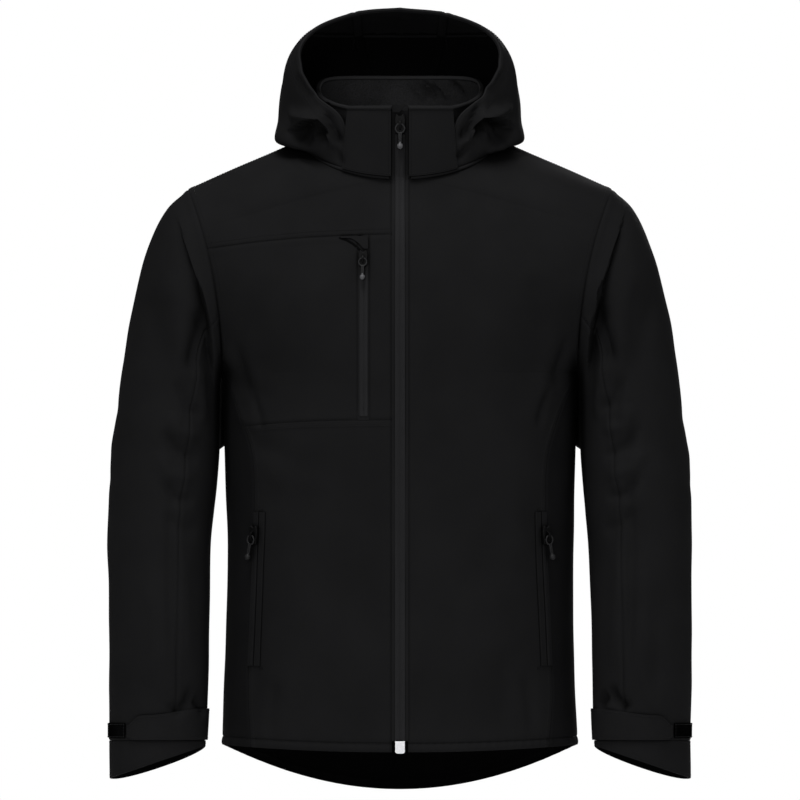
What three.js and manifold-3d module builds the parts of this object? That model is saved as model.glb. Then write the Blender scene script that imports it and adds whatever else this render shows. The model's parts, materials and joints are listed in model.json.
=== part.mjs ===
// Hooded softshell jacket, zipped up and filled out as when it is worn, with nobody in it.
// Millimetres, +Z up. The front faces -Y, the wearer's left is +X, and z = 0 is level with the neck's sides.
// Every half is worked out for the wearer's left (+X) and mirrored for the right.

import * as THREE from 'three';
import Module from 'manifold-3d';
import { mergeVertices } from 'three/addons/utils/BufferGeometryUtils.js';

const wasm = await Module();
wasm.setup();

// Cloth
const CLOTH = 2.0; // wall of the bonded two-layer cloth
const TRIM = 1.4; // zip tape, welt and garage cloth
const SEAM_GAP = 0.3; // between any two pieces
const OPENING_X = 8.8; // from the centre to the front edges beside the zip

// Lengths and heights of the body
const UNDERARM_Z = -246;
const HEM = { frontZ: -663, sideZ: -656, backZ: -707 };
// How each row of the body bends on its way up or down to the side; 1 is straight
const [HEM_CLIMB, CHEST_CLIMB, SHOULDER_CLIMB] = [2, 1.3, 1];
const NECK = { halfWidth: 103, front: 90, back: 76, frontZ: -34, sideZ: 12, backZ: 14 };
const BODY_ROWS = 6; // rows from hem to chest seam
const ARM_ROWS = 16; // rows from underarm to shoulder, one for each step round half an armhole
const NECK_ROW = 11; // the row at which the centre lines reach the neck
const NECK_V = 1 + NECK_ROW / ARM_ROWS;

// Body outline from the front and from the side
const bodyWidths = [
  { z: -656, half: 195.8 },
  { z: -560, half: 192 },
  { z: -450, half: 190.2 },
  { z: -340, half: 193 },
  { z: -246, half: 195.6 },
];
const frontDepths = [
  { z: -663, y: 132 },
  { z: -430, y: 124 },
  { z: -300, y: 125 },
  { z: -180, y: 127 },
  { z: -100, y: 114 },
  { z: -34, y: 90 },
];
const backDepths = [
  { z: -707, y: 130 },
  { z: -420, y: 112 },
  { z: -246, y: 124 },
  { z: -140, y: 130 },
  { z: -50, y: 116 },
  { z: 14, y: 76 },
];

// Seam of the side gore, as far from the centre as it is seen from the front
const sideSeam = [
  { z: -656, x: 163 },
  { z: -600, x: 167 },
  { z: -470, x: 162 },
  { z: -390, x: 159.5 },
  { z: -334, x: 162.5 },
  { z: -284, x: 178 },
  { z: -246, x: 194.8 },
];

// Sleeve: the outermost and innermost point of each ring, its half depth and its place in front or behind
const sleeveRings = [
  { ring: 0, outX: 233, outZ: -46, inX: 196, inZ: -246, depth: 76, y: 0, bow: 10 },
  { ring: 1, outX: 257, outZ: -69, inX: 197.6, inZ: -262, depth: 78, y: 1, bow: 5 },
  { ring: 2, outX: 276, outZ: -110, inX: 198, inZ: -285, depth: 76, y: 2, bow: 1 },
  { ring: 3, outX: 293, outZ: -180, inX: 198, inZ: -318, depth: 72, y: 1, bow: 0 },
  { ring: 4, outX: 304, outZ: -235, inX: 198.6, inZ: -341, depth: 69, y: -1, bow: 0 },
  { ring: 5, outX: 312, outZ: -297, inX: 201, inZ: -372, depth: 66, y: -5, bow: 0 },
  { ring: 6, outX: 318.5, outZ: -350, inX: 204, inZ: -400, depth: 64, y: -10, bow: 0 },
  { ring: 7, outX: 321, outZ: -409, inX: 207, inZ: -434, depth: 61, y: -16, bow: 0 },
  { ring: 8, outX: 321.6, outZ: -480, inX: 209, inZ: -492, depth: 58, y: -23, bow: 0 },
  { ring: 9, outX: 321.8, outZ: -545, inX: 210.3, inZ: -549, depth: 55, y: -29, bow: 0 },
  { ring: 10, outX: 320.4, outZ: -604, inX: 211.6, inZ: -604, depth: 52, y: -33, bow: 0 },
  { ring: 11, outX: 319.5, outZ: -651, inX: 213.4, inZ: -651, depth: 50, y: -35, bow: 0 },
];
const SLEEVE_SEAM_STEP = 10; // steps round from the top of the arm to the front and back sleeve seams
// Dent in the front of the sleeve beside the armpit
const sleeveHollow = { turn: 2.2, turnWide: 0.45, ring: 1.9, ringWide: 1.1, deep: 7 };
const CUFF_END = { innerZ: -657, slope: 35, backDrop: 8 };
const cuffTab = {
  innerTurn: 3.5, tipTurn: 0.92, topZ: -616, tipTopZ: -623, bottomZ: -650.4, cornerDrop: 11, cornerRise: 3,
};
const loopPatch = { innerTurn: 0.86, outerTurn: -0.25, topZ: -632, bottomZ: -648 };

// Collar and its bound edge
const collarTop = { halfWidth: 91, front: 92, back: 70, frontZ: 41.5, sideZ: 61, backZ: 76 };
const BINDING = { high: 4.2, lift: 0.6, thick: 3.2 };
const FLAP_REACH = 0.37; // share of the way from zip to shoulder that a collar flap covers
const HOOD_LIFT = CLOTH + 1; // outer face of the hood's end above the collar
const FLAP_LIFT = HOOD_LIFT + CLOTH + 3.5 * SEAM_GAP;

// Hood arches from its opening edge back to the nape. Each starts on the neckline at the angle psi from
// the front, goes out to a low point, in or out by tuck, on to the widest point and over the crown.
const hoodArches = [
  {
    arch: 0, psi: 30, tuck: -11, lowX: 64, lowY: -75, lowZ: 30,
    wideX: 112, wideY: -62, wideZ: 106, topY: -48, topZ: 153,
  },
  {
    arch: 1, psi: 50, tuck: 1, lowX: 102, lowY: -55, lowZ: 6,
    wideX: 126, wideY: -42, wideZ: 88, topY: -22, topZ: 152,
  },
  {
    arch: 2, psi: 70, tuck: 0, lowX: 131, lowY: -30, lowZ: 5,
    wideX: 130, wideY: -12, wideZ: 66, topY: 22, topZ: 142,
  },
  {
    arch: 3, psi: 90, tuck: 0, lowX: 135, lowY: 5, lowZ: 8,
    wideX: 131, wideY: 24, wideZ: 54, topY: 66, topZ: 122,
  },
  {
    arch: 4, psi: 112, tuck: 1, lowX: 119, lowY: 44, lowZ: 10,
    wideX: 118, wideY: 66, wideZ: 44, topY: 100, topZ: 92,
  },
  {
    arch: 5, psi: 135, tuck: 3, lowX: 84, lowY: 76, lowZ: 12,
    wideX: 86, wideY: 92, wideZ: 34, topY: 108, topZ: 56,
  },
  {
    arch: 6, psi: 158, tuck: 0, lowX: 35, lowY: 76, lowZ: 16,
    wideX: 30, wideY: 78, wideZ: 17, topY: 80, topZ: 17,
  },
];
const HOOD_ROWS = 12;
const HOOD_SIDE_STEPS = 9;
const HOOD_CENTRE_STEPS = 2;
const FACING_START = 4; // column of the side panel at which the brim facing starts
const HOOD_SEAM = 0.82; // share of an arch from neckline to crown at which the side panel ends

// Chest pocket, on the wearer's right
const chestZip = { innerX: 34.5, outerX: 46, sliderZ: -122.8 };
const yokeSeamZ = (x) => -95.7 - 12.1 * (x / 185) ** 2;
const lowerSeamZ = (x) => -299.2 - 6.6 * (x / 168) ** 3;
const chestGarage = { left: 65, right: 35, top: -97.8, bottom: -111.6, radius: 31, least: 2 };

// Hand pockets
const handPocket = { topZ: -400, bottomZ: -569, tapeWide: 5.4, weltWide: 6.4, sliderZ: -426, lean: 0.2 };

// Front zip
const frontZip = { bottomZ: -650.6, topZ: 40.5, hingeZ: 25.5, boxWide: 10.6, boxHigh: 13.6, boxThick: 4.2 };

// Zip slider and pull tab, about the hinge line: x along it, z up the zip, -y out of the cloth
const slider = { wide: 12, narrow: 8.6, up: 11.5, down: 9.5, face: 1.8, back: 5.6 };
const CHEST_SLIDER = 0.88; // size of the chest slider beside the others
const bridge = { wide: 2.4, inner: 1.75, outer: 2.75 };
const pull = {
  ringOut: 6, ringIn: 3.9, ringDown: 4.8, thick: 1.6, shaftWide: 3.8, shaftEnd: 20.5, bulb: 3.5, bulbDown: 24,
};

// Colours: dark cloth lit as in the photo, smooth moulded pulls and one bright metal box
const cloth = { color: 0x17171a, roughness: 0.9, metalness: 0 };
const gore = { color: 0x131316, roughness: 0.92, metalness: 0 };
const lining = { color: 0x1b1b1e, roughness: 1, metalness: 0 };
const tape = { color: 0x242427, roughness: 0.75, metalness: 0 };
const patchNap = { color: 0x0d0d0f, roughness: 1, metalness: 0 };
const moulded = { color: 0x2b2b2e, roughness: 0.45, metalness: 0 };
const steel = { color: 0xc9c9cc, roughness: 0.25, metalness: 1 };

const group = new THREE.Group();

// Small helpers

const mix = (a, b, share) => a + (b - a) * share;
const mixPoint = (a, b, share) => a.map((value, axis) => mix(value, b[axis], share));
const clamp = (value, low, high) => Math.min(high, Math.max(low, value));
const smooth = (low, high, value) => THREE.MathUtils.smoothstep(value, low, high);
const plus = (a, b, scale = 1) => a.map((value, axis) => value + b[axis] * scale);
const minus = (a, b) => plus(a, b, -1);
const range = (count) => Array.from({ length: count + 1 }, (_, i) => i / count);

function cross(a, b) {
  return [a[1] * b[2] - a[2] * b[1], a[2] * b[0] - a[0] * b[2], a[0] * b[1] - a[1] * b[0]];
}

function dot(a, b) {
  return a[0] * b[0] + a[1] * b[1] + a[2] * b[2];
}

function unit(a) {
  const length = Math.hypot(...a);
  return a.map((value) => value / length);
}

// Reads one column of a table smoothly at a place between its rows
function read(table, by, at, column) {
  const last = table.length - 1;
  const place = clamp(at, table[0][by], table[last][by]);
  let i = 0;
  while (i < last - 1 && place > table[i + 1][by]) i += 1;
  const slope = (k) => {
    const before = table[Math.max(k - 1, 0)];
    const after = table[Math.min(k + 1, last)];
    return (after[column] - before[column]) / (after[by] - before[by]);
  };
  const width = table[i + 1][by] - table[i][by];
  const s = (place - table[i][by]) / width;
  const start = table[i][column];
  const end = table[i + 1][column];
  const curve = (2 * s ** 3 - 3 * s ** 2 + 1) * start + (3 * s ** 2 - 2 * s ** 3) * end;
  return curve + (s ** 3 - 2 * s ** 2 + s) * width * slope(i) + (s ** 3 - s ** 2) * width * slope(i + 1);
}

// Finds where a rising function of one value reaches a goal
function solve(low, high, goal, rising) {
  let a = low;
  let b = high;
  for (let step = 0; step < 40; step += 1) {
    const middle = (a + b) / 2;
    if (rising(middle) < goal) a = middle;
    else b = middle;
  }
  return (a + b) / 2;
}

// Outward direction of a surface given by two parameters
function surfaceNormal(surface, a, b, away, reach = 0.03) {
  const alongA = minus(surface(a + reach, b), surface(a - reach, b));
  const alongB = minus(surface(a, b + reach), surface(a, b - reach));
  const n = unit(cross(alongA, alongB));
  return dot(n, away) < 0 ? n.map((value) => -value) : n;
}

// Walls: a grid of outer points p and outward directions n becomes one closed body

function closedGeometry(positions, triangles) {
  let volume = 0;
  for (const [a, b, c] of triangles) {
    volume += dot(positions[a], cross(positions[b], positions[c]));
  }
  const facing = volume < 0 ? triangles.map(([a, b, c]) => [a, c, b]) : triangles;
  const geometry = new THREE.BufferGeometry();
  geometry.setAttribute('position', new THREE.Float32BufferAttribute(positions.flat(), 3));
  geometry.setIndex(facing.flat());
  geometry.computeVertexNormals();
  return geometry;
}

// Points and triangles of a wall. Its last column gets a rim from the given row up, and none below it.
// The half beyond the middle plane is split along the other diagonals, as a mirror image.
function wallParts(grid, thickness, closed, rimFrom) {
  const rows = grid.length;
  const columns = grid[0].length;
  const outer = grid.flat().map((spot) => spot.p);
  const inner = grid.flat().map((spot) => plus(spot.p, spot.n, -thickness));
  const layer = rows * columns;
  const at = (i, j) => i * columns + (j % columns);
  const triangles = [];
  const quad = (a, b, c, d, turned = false) => {
    if (turned) triangles.push([a, b, d], [b, c, d]);
    else triangles.push([a, b, c], [a, c, d]);
  };
  const steps = closed ? columns : columns - 1;
  for (let j = 0; j < steps; j += 1) {
    const turned = grid[0][0].p[0] > 0 && grid[0][j].p[0] + grid[0][(j + 1) % columns].p[0] < 0;
    for (let i = 0; i < rows - 1; i += 1) {
      quad(at(i, j), at(i, j + 1), at(i + 1, j + 1), at(i + 1, j), turned);
      quad(layer + at(i, j), layer + at(i + 1, j), layer + at(i + 1, j + 1), layer + at(i, j + 1), turned);
    }
    quad(at(0, j), layer + at(0, j), layer + at(0, j + 1), at(0, j + 1));
    quad(at(rows - 1, j), at(rows - 1, j + 1), layer + at(rows - 1, j + 1), layer + at(rows - 1, j));
  }
  for (let i = 0; i < rows - 1 && !closed; i += 1) {
    const end = columns - 1;
    quad(at(i, 0), at(i + 1, 0), layer + at(i + 1, 0), layer + at(i, 0));
    if (i >= rimFrom) quad(at(i, end), layer + at(i, end), layer + at(i + 1, end), at(i + 1, end));
  }
  return { positions: [...outer, ...inner], triangles };
}

function wall(grid, thickness = CLOTH, closed = false) {
  const { positions, triangles } = wallParts(grid, thickness, closed, 0);
  return closedGeometry(positions, triangles);
}

// A wall and its mirror image in one body, joined where the last column lies on the middle plane
function doubledWall(grid, rimFrom) {
  const { positions, triangles } = wallParts(grid, CLOTH, false, rimFrom);
  const all = [...positions];
  const twin = positions.map(([x, y, z], k) => (x === 0 ? k : all.push([-x, y, z]) - 1));
  const flipped = triangles.map(([a, b, c]) => [twin[a], twin[c], twin[b]]);
  return closedGeometry(all, [...triangles, ...flipped]);
}

// Draws the edges of a grid in, so that neighbours stay a seam gap apart
function trimmed(grid, edges = { low: 1, high: 1, first: 1, last: 1 }) {
  const half = SEAM_GAP / 2;
  const result = grid.map((row) => row.map((spot) => ({ ...spot })));
  const draw = (spot, towards, share = 0) => {
    spot.p = plus(spot.p, unit(minus(towards.p, spot.p)), half * share);
  };
  const rows = grid.length - 1;
  const columns = grid[0].length - 1;
  for (let j = 0; j <= columns; j += 1) {
    draw(result[0][j], grid[1][j], edges.low);
    draw(result[rows][j], grid[rows - 1][j], edges.high);
  }
  for (let i = 0; i <= rows; i += 1) {
    draw(result[i][0], grid[i][1], edges.first);
    draw(result[i][columns], grid[i][columns - 1], edges.last);
  }
  return result;
}

const lifted = (grid, lift) => grid.map((row) => row.map(({ p, n }) => ({ p: plus(p, n, lift), n })));

const mirroredSpot = ({ p, n }) => ({ p: [-p[0], p[1], p[2]], n: [-n[0], n[1], n[2]] });

const mirrored = (grid) => grid.map((row) => row.map(mirroredSpot));

// Joins a half grid, whose last column lies on the middle plane, to its mirror image
function bothHalves(grid) {
  const other = mirrored(grid);
  return grid.map((row, i) => [...row, ...other[i].slice(0, -1).reverse()]);
}

function add(name, geometry, finish) {
  const mesh = new THREE.Mesh(geometry, new THREE.MeshStandardMaterial(finish));
  mesh.name = name;
  group.add(mesh);
}

// Adds a piece for the wearer's left and its mirror image for the right
function addPair(name, grid, thickness, finish, closed = false) {
  add(`${name}_left`, wall(grid, thickness, closed), finish);
  add(`${name}_right`, wall(mirrored(grid), thickness, closed), finish);
}

// Sleeve surface: turn 0 is the outer line, positive to the front, and ring 0 is the armhole

function sleevePoint(turn, ring) {
  const value = (column) => read(sleeveRings, 'ring', ring, column);
  const outer = [value('outX'), value('outZ')];
  const inner = [value('inX'), value('inZ')];
  const share = (1 + Math.cos(turn)) / 2;
  const side = Math.sin(turn);
  const hollow = Math.exp(-(((turn - sleeveHollow.turn) / sleeveHollow.turnWide) ** 2)
    - ((ring - sleeveHollow.ring) / sleeveHollow.ringWide) ** 2) * Math.min(ring, 1);
  const x = mix(inner[0], outer[0], share) - value('bow') * side ** 2;
  const y = value('y') - value('depth') * side + sleeveHollow.deep * hollow;
  return [x, y, mix(inner[1], outer[1], share)];
}

const armTurn = (step) => (Math.PI * step) / ARM_ROWS;

// Armhole as the chain of points that body and sleeve share, step 0 at the underarm and face -1 in front
function armholeAt(face, v) {
  const place = clamp((v - 1) * ARM_ROWS, 0, ARM_ROWS);
  const step = Math.min(Math.floor(place), ARM_ROWS - 1);
  const knot = (k) => sleevePoint(-face * armTurn(ARM_ROWS - k), 0);
  return mixPoint(knot(step), knot(step + 1), place - step);
}

// Neckline as the chain of points that body and collar share, from the centre line to the side of the neck
function neckKnot(face, k) {
  const steps = ARM_ROWS - NECK_ROW;
  const start = face < 0 ? Math.asin(OPENING_X / NECK.halfWidth) : 0;
  const angle = mix(start, Math.PI / 2, k / steps);
  const level = 1 - Math.cos(angle);
  const depth = face < 0 ? NECK.front : NECK.back;
  const centreZ = face < 0 ? NECK.frontZ : NECK.backZ;
  return [NECK.halfWidth * Math.sin(angle), face * depth * Math.cos(angle), mix(centreZ, NECK.sideZ, level)];
}

function neckAt(face, place) {
  const steps = ARM_ROWS - NECK_ROW;
  const at = clamp(place, 0, 1) * steps;
  const k = Math.min(Math.floor(at), steps - 1);
  return mixPoint(neckKnot(face, k), neckKnot(face, k + 1), at - k);
}

// Body surface: v is 0 at the hem, 1 at the underarm and 2 along the shoulder,
// and each row runs from the centre line to the side of the body or to the armhole

function bodyRow(face, v) {
  const depths = face < 0 ? frontDepths : backDepths;
  const startX = face < 0 ? OPENING_X : 0;
  if (v <= 1) {
    const centreZ = mix(face < 0 ? HEM.frontZ : HEM.backZ, UNDERARM_Z, v);
    const sideZ = mix(HEM.sideZ, UNDERARM_Z, v);
    const start = [startX, face * read(depths, 'z', centreZ, 'y'), centreZ];
    return { start, end: [read(bodyWidths, 'z', sideZ, 'half'), 0, sideZ], turn: Math.PI / 2 };
  }
  const end = armholeAt(face, v);
  const neckZ = face < 0 ? NECK.frontZ : NECK.backZ;
  const centreZ = mix(UNDERARM_Z, neckZ, (v - 1) / (NECK_V - 1));
  const centre = [startX, face * read(depths, 'z', centreZ, 'y'), centreZ];
  const start = v < NECK_V ? centre : neckAt(face, (v - NECK_V) / (2 - NECK_V));
  const openness = clamp(end[1] / (start[1] || 1), 0, 1);
  const turn = v < 1.5 ? Math.acos(openness) : Math.acos(clamp(bodyBend(face), 0, 1));
  return { start, end, turn };
}

// Share of the centre depth that is left at the middle of the armhole
function bodyBend(face) {
  const depths = face < 0 ? frontDepths : backDepths;
  const neckZ = face < 0 ? NECK.frontZ : NECK.backZ;
  const centreZ = mix(UNDERARM_Z, neckZ, 0.5 / (NECK_V - 1));
  return Math.abs(armholeAt(face, 1.5)[1]) / read(depths, 'z', centreZ, 'y');
}

function bodyPoint(face, t, v) {
  const { start, end, turn } = bodyRow(face, v);
  const across = Math.sin(turn * t) / Math.sin(turn);
  const deep = (1 - Math.cos(turn * t)) / (1 - Math.cos(turn));
  const upperClimb = mix(CHEST_CLIMB, SHOULDER_CLIMB, clamp((v - 1.5) / 0.5, 0, 1));
  const climb = Math.abs(across) ** (v < 1 ? HEM_CLIMB : upperClimb);
  return [mix(start[0], end[0], across), mix(start[1], end[1], deep), mix(start[2], end[2], climb)];
}

// Place along a row at which the body is a given distance from the middle plane
function shareAtX(face, x, v) {
  const { start, end, turn } = bodyRow(face, v);
  return Math.asin(clamp((x - start[0]) / (end[0] - start[0]), 0, 1) * Math.sin(turn)) / turn;
}

// Body all round: around is 0 at the centre front, 1 at the side and 2 at the centre back
const bodyAround = (around, v) => (around <= 1 ? bodyPoint(-1, around, v) : bodyPoint(1, 2 - around, v));

function bodySpot(around, v) {
  const p = bodyAround(around, v);
  const atArmhole = v > 1 && Math.abs(around - 1) < 0.04;
  const sampleAround = atArmhole ? 1 + Math.sign(around - 1 || -1) * 0.04 : clamp(around, 0.03, 1.97);
  const away = [p[0], p[1], 60];
  const n = surfaceNormal(bodyAround, sampleAround, clamp(v, 0.03, 1.965), away);
  return { p, n: v > 1.999 ? unit([n[0], 0, n[2]]) : n };
}

// Level v at which a line of the body meets a seam height seen from the front
function levelAt(shareOf, seamZ) {
  return solve(0, 1.95, 0, (v) => {
    const p = bodyPoint(-1, shareOf(v), v);
    return p[2] - seamZ(p[0]);
  });
}

const sideShare = (v) => shareAtX(-1, read(sideSeam, 'z', mix(HEM.sideZ, UNDERARM_Z, v), 'x'), v);
const frontEdgeShare = (v) => (v < 1.001 ? sideShare(Math.min(v, 1)) : 1);
const backEdge = (v) => Math.max(2 - frontEdgeShare(v), 1 + 1e-6);

// Rows of a panel at its outer edge: even ones up to the chest seam, then the armhole's own steps
function rowsBetween(low, high) {
  const even = range(BODY_ROWS).map((share) => share * LOWER_END);
  const lower = even.filter((v) => v > low + 0.02 && v < high - 0.02);
  const upper = Array.from({ length: ARM_ROWS + 1 }, (_, k) => 1 + k / ARM_ROWS);
  return [low, ...lower, ...upper.filter((v) => v > low + 0.02 && v < high - 0.02), high];
}

// Grid of body points between columns, each a function from level to place around.
// Rows that reach the neckline stay level in v, so that panel and collar share its points.
function bodyGrid(columns, rows, lows, highs) {
  const span = Math.min(rows[rows.length - 1], NECK_V) - rows[0];
  return rows.map((row) => columns.map((column, j) => {
    const high = Math.min(highs[j], NECK_V);
    const v = row >= NECK_V ? row : mix(lows[j], high, (row - rows[0]) / span);
    return bodySpot(column(v), v);
  }));
}

const between = (first, last, share) => (v) => mix(first(v), last(v), share);
const everywhere = (columns, value) => columns.map(() => value);

// Body panels

function frontLeft() {
  const columns = range(11).map((share) => between(() => 0, frontEdgeShare, share));
  const grid = bodyGrid(columns, rowsBetween(0, 2), everywhere(columns, 0), everywhere(columns, 2));
  add('front_left_panel', wall(trimmed(grid)), cloth);
}

const stripShare = (v) => shareAtX(-1, chestZip.innerX, v);
const pocketShare = (v) => shareAtX(-1, chestZip.outerX, v);
const chestColumns = [
  () => 0,
  between(() => 0, stripShare, 0.5),
  stripShare,
  pocketShare,
  ...range(8).slice(1).map((share) => between(pocketShare, frontEdgeShare, share)),
];
const yokeLevels = chestColumns.map((column) => levelAt(column, yokeSeamZ));
const lowerLevels = chestColumns.map((column) => levelAt(column, lowerSeamZ));
const YOKE_END = yokeLevels[yokeLevels.length - 1];
const LOWER_END = lowerLevels[lowerLevels.length - 1];

function rightFront() {
  const pinned = chestColumns.map((column, j) => () => column(yokeLevels[j]));
  const yoke = bodyGrid(pinned, rowsBetween(YOKE_END, 2), yokeLevels, everywhere(pinned, 2));
  add('front_right_yoke', wall(mirrored(trimmed(yoke))), cloth);

  const middleRows = rowsBetween(LOWER_END, YOKE_END);
  const panel = (from, to) => bodyGrid(
    chestColumns.slice(from, to),
    middleRows,
    lowerLevels.slice(from, to),
    yokeLevels.slice(from, to),
  );
  add('chest_pocket_panel', wall(mirrored(trimmed(panel(3, 12)))), cloth);
  add('chest_strip_panel', wall(mirrored(trimmed(panel(0, 3)))), cloth);
  const zip = lifted(trimmed(panel(2, 4)), -SEAM_GAP);
  add('chest_zip_tape', wall(mirrored(zip), TRIM), tape);

  const lower = bodyGrid(chestColumns, rowsBetween(0, LOWER_END), everywhere(chestColumns, 0), lowerLevels);
  add('front_right_lower', wall(mirrored(trimmed(lower))), cloth);
}

function sideGores() {
  const columns = [
    frontEdgeShare,
    between(frontEdgeShare, () => 1, 0.5),
    () => 1,
    between(() => 1, backEdge, 0.5),
    backEdge,
  ];
  const grid = bodyGrid(columns, rowsBetween(0, 1), everywhere(columns, 0), everywhere(columns, 1));
  addPair('side_panel', trimmed(grid, { low: 1, high: 2, first: 1, last: 1 }), CLOTH, gore);
}

// The back's last column is the middle line up to the neck, and runs along the neckline above it
function back() {
  const columns = range(9).map((share) => between(backEdge, () => 2, share));
  const rows = rowsBetween(0, 2);
  const neckRow = rows.findIndex((v) => v >= NECK_V);
  const grid = bodyGrid(columns, rows, everywhere(columns, 0), everywhere(columns, 2));
  const last = columns.length - 1;
  const half = trimmed(grid, { low: 1, high: 1, first: 1, last: 0 });
  half.forEach((row, i) => {
    const spot = row[last];
    const inward = i > neckRow ? grid[i][last - 1] : grid[i - 1]?.[last];
    if (i >= neckRow) spot.p = plus(spot.p, unit(minus(inward.p, spot.p)), SEAM_GAP / 2);
    if (i <= neckRow) row[last] = { p: [0, spot.p[1], spot.p[2]], n: unit([0, spot.n[1], spot.n[2]]) };
  });
  add('back_panel', doubledWall(half, neckRow), cloth);
}

// Sleeves

function sleeveSpot(turn, ring) {
  const p = sleevePoint(turn, ring);
  const middle = mixPoint(sleevePoint(0, ring), sleevePoint(Math.PI, ring), 0.5);
  const own = surfaceNormal(sleevePoint, turn, clamp(ring, 0.05, 10.95), minus(p, middle), 0.04);
  if (ring > 0) return { p, n: own };
  const v = 2 - Math.abs(THREE.MathUtils.euclideanModulo(turn + Math.PI, 2 * Math.PI) - Math.PI) / Math.PI;
  const body = bodySpot(Math.sin(turn) >= 0 ? 1 - 1e-6 : 1 + 1e-6, v).n;
  return { p, n: dot(own, body) > 0.3 ? unit(plus(own, body)) : own };
}

function sleeveGrid(fromStep, toStep, rings = range(13).map((share) => share * 11)) {
  const turns = Array.from({ length: toStep - fromStep + 1 }, (_, k) => armTurn(fromStep + k));
  return rings.map((ring) => turns.map((turn) => sleeveSpot(turn, ring)));
}

function sleeves() {
  const upper = sleeveGrid(-SLEEVE_SEAM_STEP, SLEEVE_SEAM_STEP);
  const under = sleeveGrid(SLEEVE_SEAM_STEP, 2 * ARM_ROWS - SLEEVE_SEAM_STEP);
  const edges = { low: 2, high: 1, first: 1, last: 1 };
  addPair('upper_sleeve', trimmed(upper, edges), CLOTH, cloth);
  addPair('under_sleeve', trimmed(under, edges), CLOTH, cloth);
}

// Sleeve end below the cuff seam, cut on a slant and longer behind
function cuffEnds() {
  const endZ = (turn) => CUFF_END.innerZ - (CUFF_END.slope * (1 + Math.cos(turn))) / 2
    - CUFF_END.backDrop * clamp(-Math.sin(turn), 0, 1);
  const seamZ = sleevePoint(0, 11)[2];
  const grid = [SEAM_GAP, 0.5, 1].map((share, row) => range(2 * ARM_ROWS).slice(0, -1).map((part) => {
    const turn = part * 2 * Math.PI;
    const { p, n } = sleeveSpot(turn, 11);
    const z = row === 0 ? seamZ - SEAM_GAP : mix(seamZ, endZ(turn), share);
    return { p: [p[0], p[1], z], n: unit([n[0], n[1], 0]) };
  }));
  addPair('cuff_end', grid, CLOTH, cloth, true);
}

// A strip that lies on the sleeve between two turns, with its own top and bottom height at each turn
function sleeveStrip(fromTurn, toTurn, steps, topZ, bottomZ, lift) {
  const levels = [bottomZ, (share) => mix(bottomZ(share), topZ(share), 0.5), topZ];
  return levels.map((level) => range(steps).map((share) => {
    const turn = mix(fromTurn, toTurn, share);
    const ring = solve(9, 11, -level(share), (at) => -sleevePoint(turn, at)[2]);
    const { p, n } = sleeveSpot(turn, ring);
    return { p: plus(p, n, lift), n };
  }));
}

function cuffTrims() {
  const { innerTurn, tipTurn, topZ, tipTopZ, bottomZ, cornerDrop, cornerRise } = cuffTab;
  const top = (share) => mix(topZ, tipTopZ, smooth(0.35, 0.87, share)) - cornerDrop * smooth(0.84, 1, share) ** 2;
  const bottom = (share) => bottomZ + cornerRise * smooth(0.93, 1, share) ** 2;
  const tab = sleeveStrip(innerTurn, tipTurn, 14, top, bottom, SEAM_GAP + CLOTH);
  addPair('cuff_tab', tab, CLOTH, cloth);
  const { innerTurn: from, outerTurn: to } = loopPatch;
  const patch = sleeveStrip(from, to, 5, () => loopPatch.topZ, () => loopPatch.bottomZ, SEAM_GAP + TRIM);
  addPair('loop_patch', patch, TRIM, patchNap);
}

// Collar: place runs from 0 at the zip to 1 at the side of the neck and 2 at the centre back

function collarPoint(place, height) {
  const face = place <= 1 ? -1 : 1;
  const share = place <= 1 ? place : 2 - place;
  const bottom = neckAt(face, share);
  const start = face < 0 ? Math.asin(OPENING_X / collarTop.halfWidth) : 0;
  const angle = mix(start, Math.PI / 2, share);
  const depth = face < 0 ? collarTop.front : collarTop.back;
  const rise = face < 0
    ? mix(collarTop.frontZ, collarTop.sideZ, clamp((share - 0.38) / 0.62, 0, 1) ** 1.3)
    : mix(collarTop.backZ, collarTop.sideZ, share ** 5);
  const top = [collarTop.halfWidth * Math.sin(angle), face * depth * Math.cos(angle), rise];
  return mixPoint(bottom, top, height);
}

function collarSpot(place, height) {
  const p = collarPoint(place, height);
  const n = surfaceNormal(collarPoint, clamp(place, 0.04, 1.96), clamp(height, 0.04, 0.96), [p[0], p[1], 0]);
  return { p, n: place > 1.999 ? unit([0, n[1], n[2]]) : n };
}

const collarPlaces = range(20).map((share) => share * 2);

function collarPieces() {
  const half = range(3).map((height) => collarPlaces.map((place) => collarSpot(place, height)));
  add('collar', wall(trimmed(bothHalves(half), { low: 2, high: 0, first: 1, last: 1 })), lining);

  const edge = [SEAM_GAP, BINDING.high].map((up) => collarPlaces.map((place) => {
    const { p, n } = collarSpot(place, 1);
    const flat = unit([n[0], n[1], 0]);
    return { p: plus([p[0], p[1], p[2] + up], flat, BINDING.lift), n: flat };
  }));
  add('collar_binding', wall(bothHalves(edge), BINDING.thick), cloth);

  const flapPlaces = range(4).map((share) => mix(0.004, FLAP_REACH, share));
  const flap = [0.03, 0.35, 0.68, 1.03].map((height) => flapPlaces.map((place) => collarSpot(place, height)));
  addPair('collar_flap', lifted(flap, FLAP_LIFT), CLOTH, cloth);
}

// Hood

function hoodBase(psi) {
  const place = psi <= 90 ? psi / 90 : 1 + (psi - 90) / 90;
  const { p, n } = collarSpot(place, 0);
  const flat = unit([n[0], n[1], 0]);
  return plus([p[0], p[1], p[2] + 1.6], flat, HOOD_LIFT);
}

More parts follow.
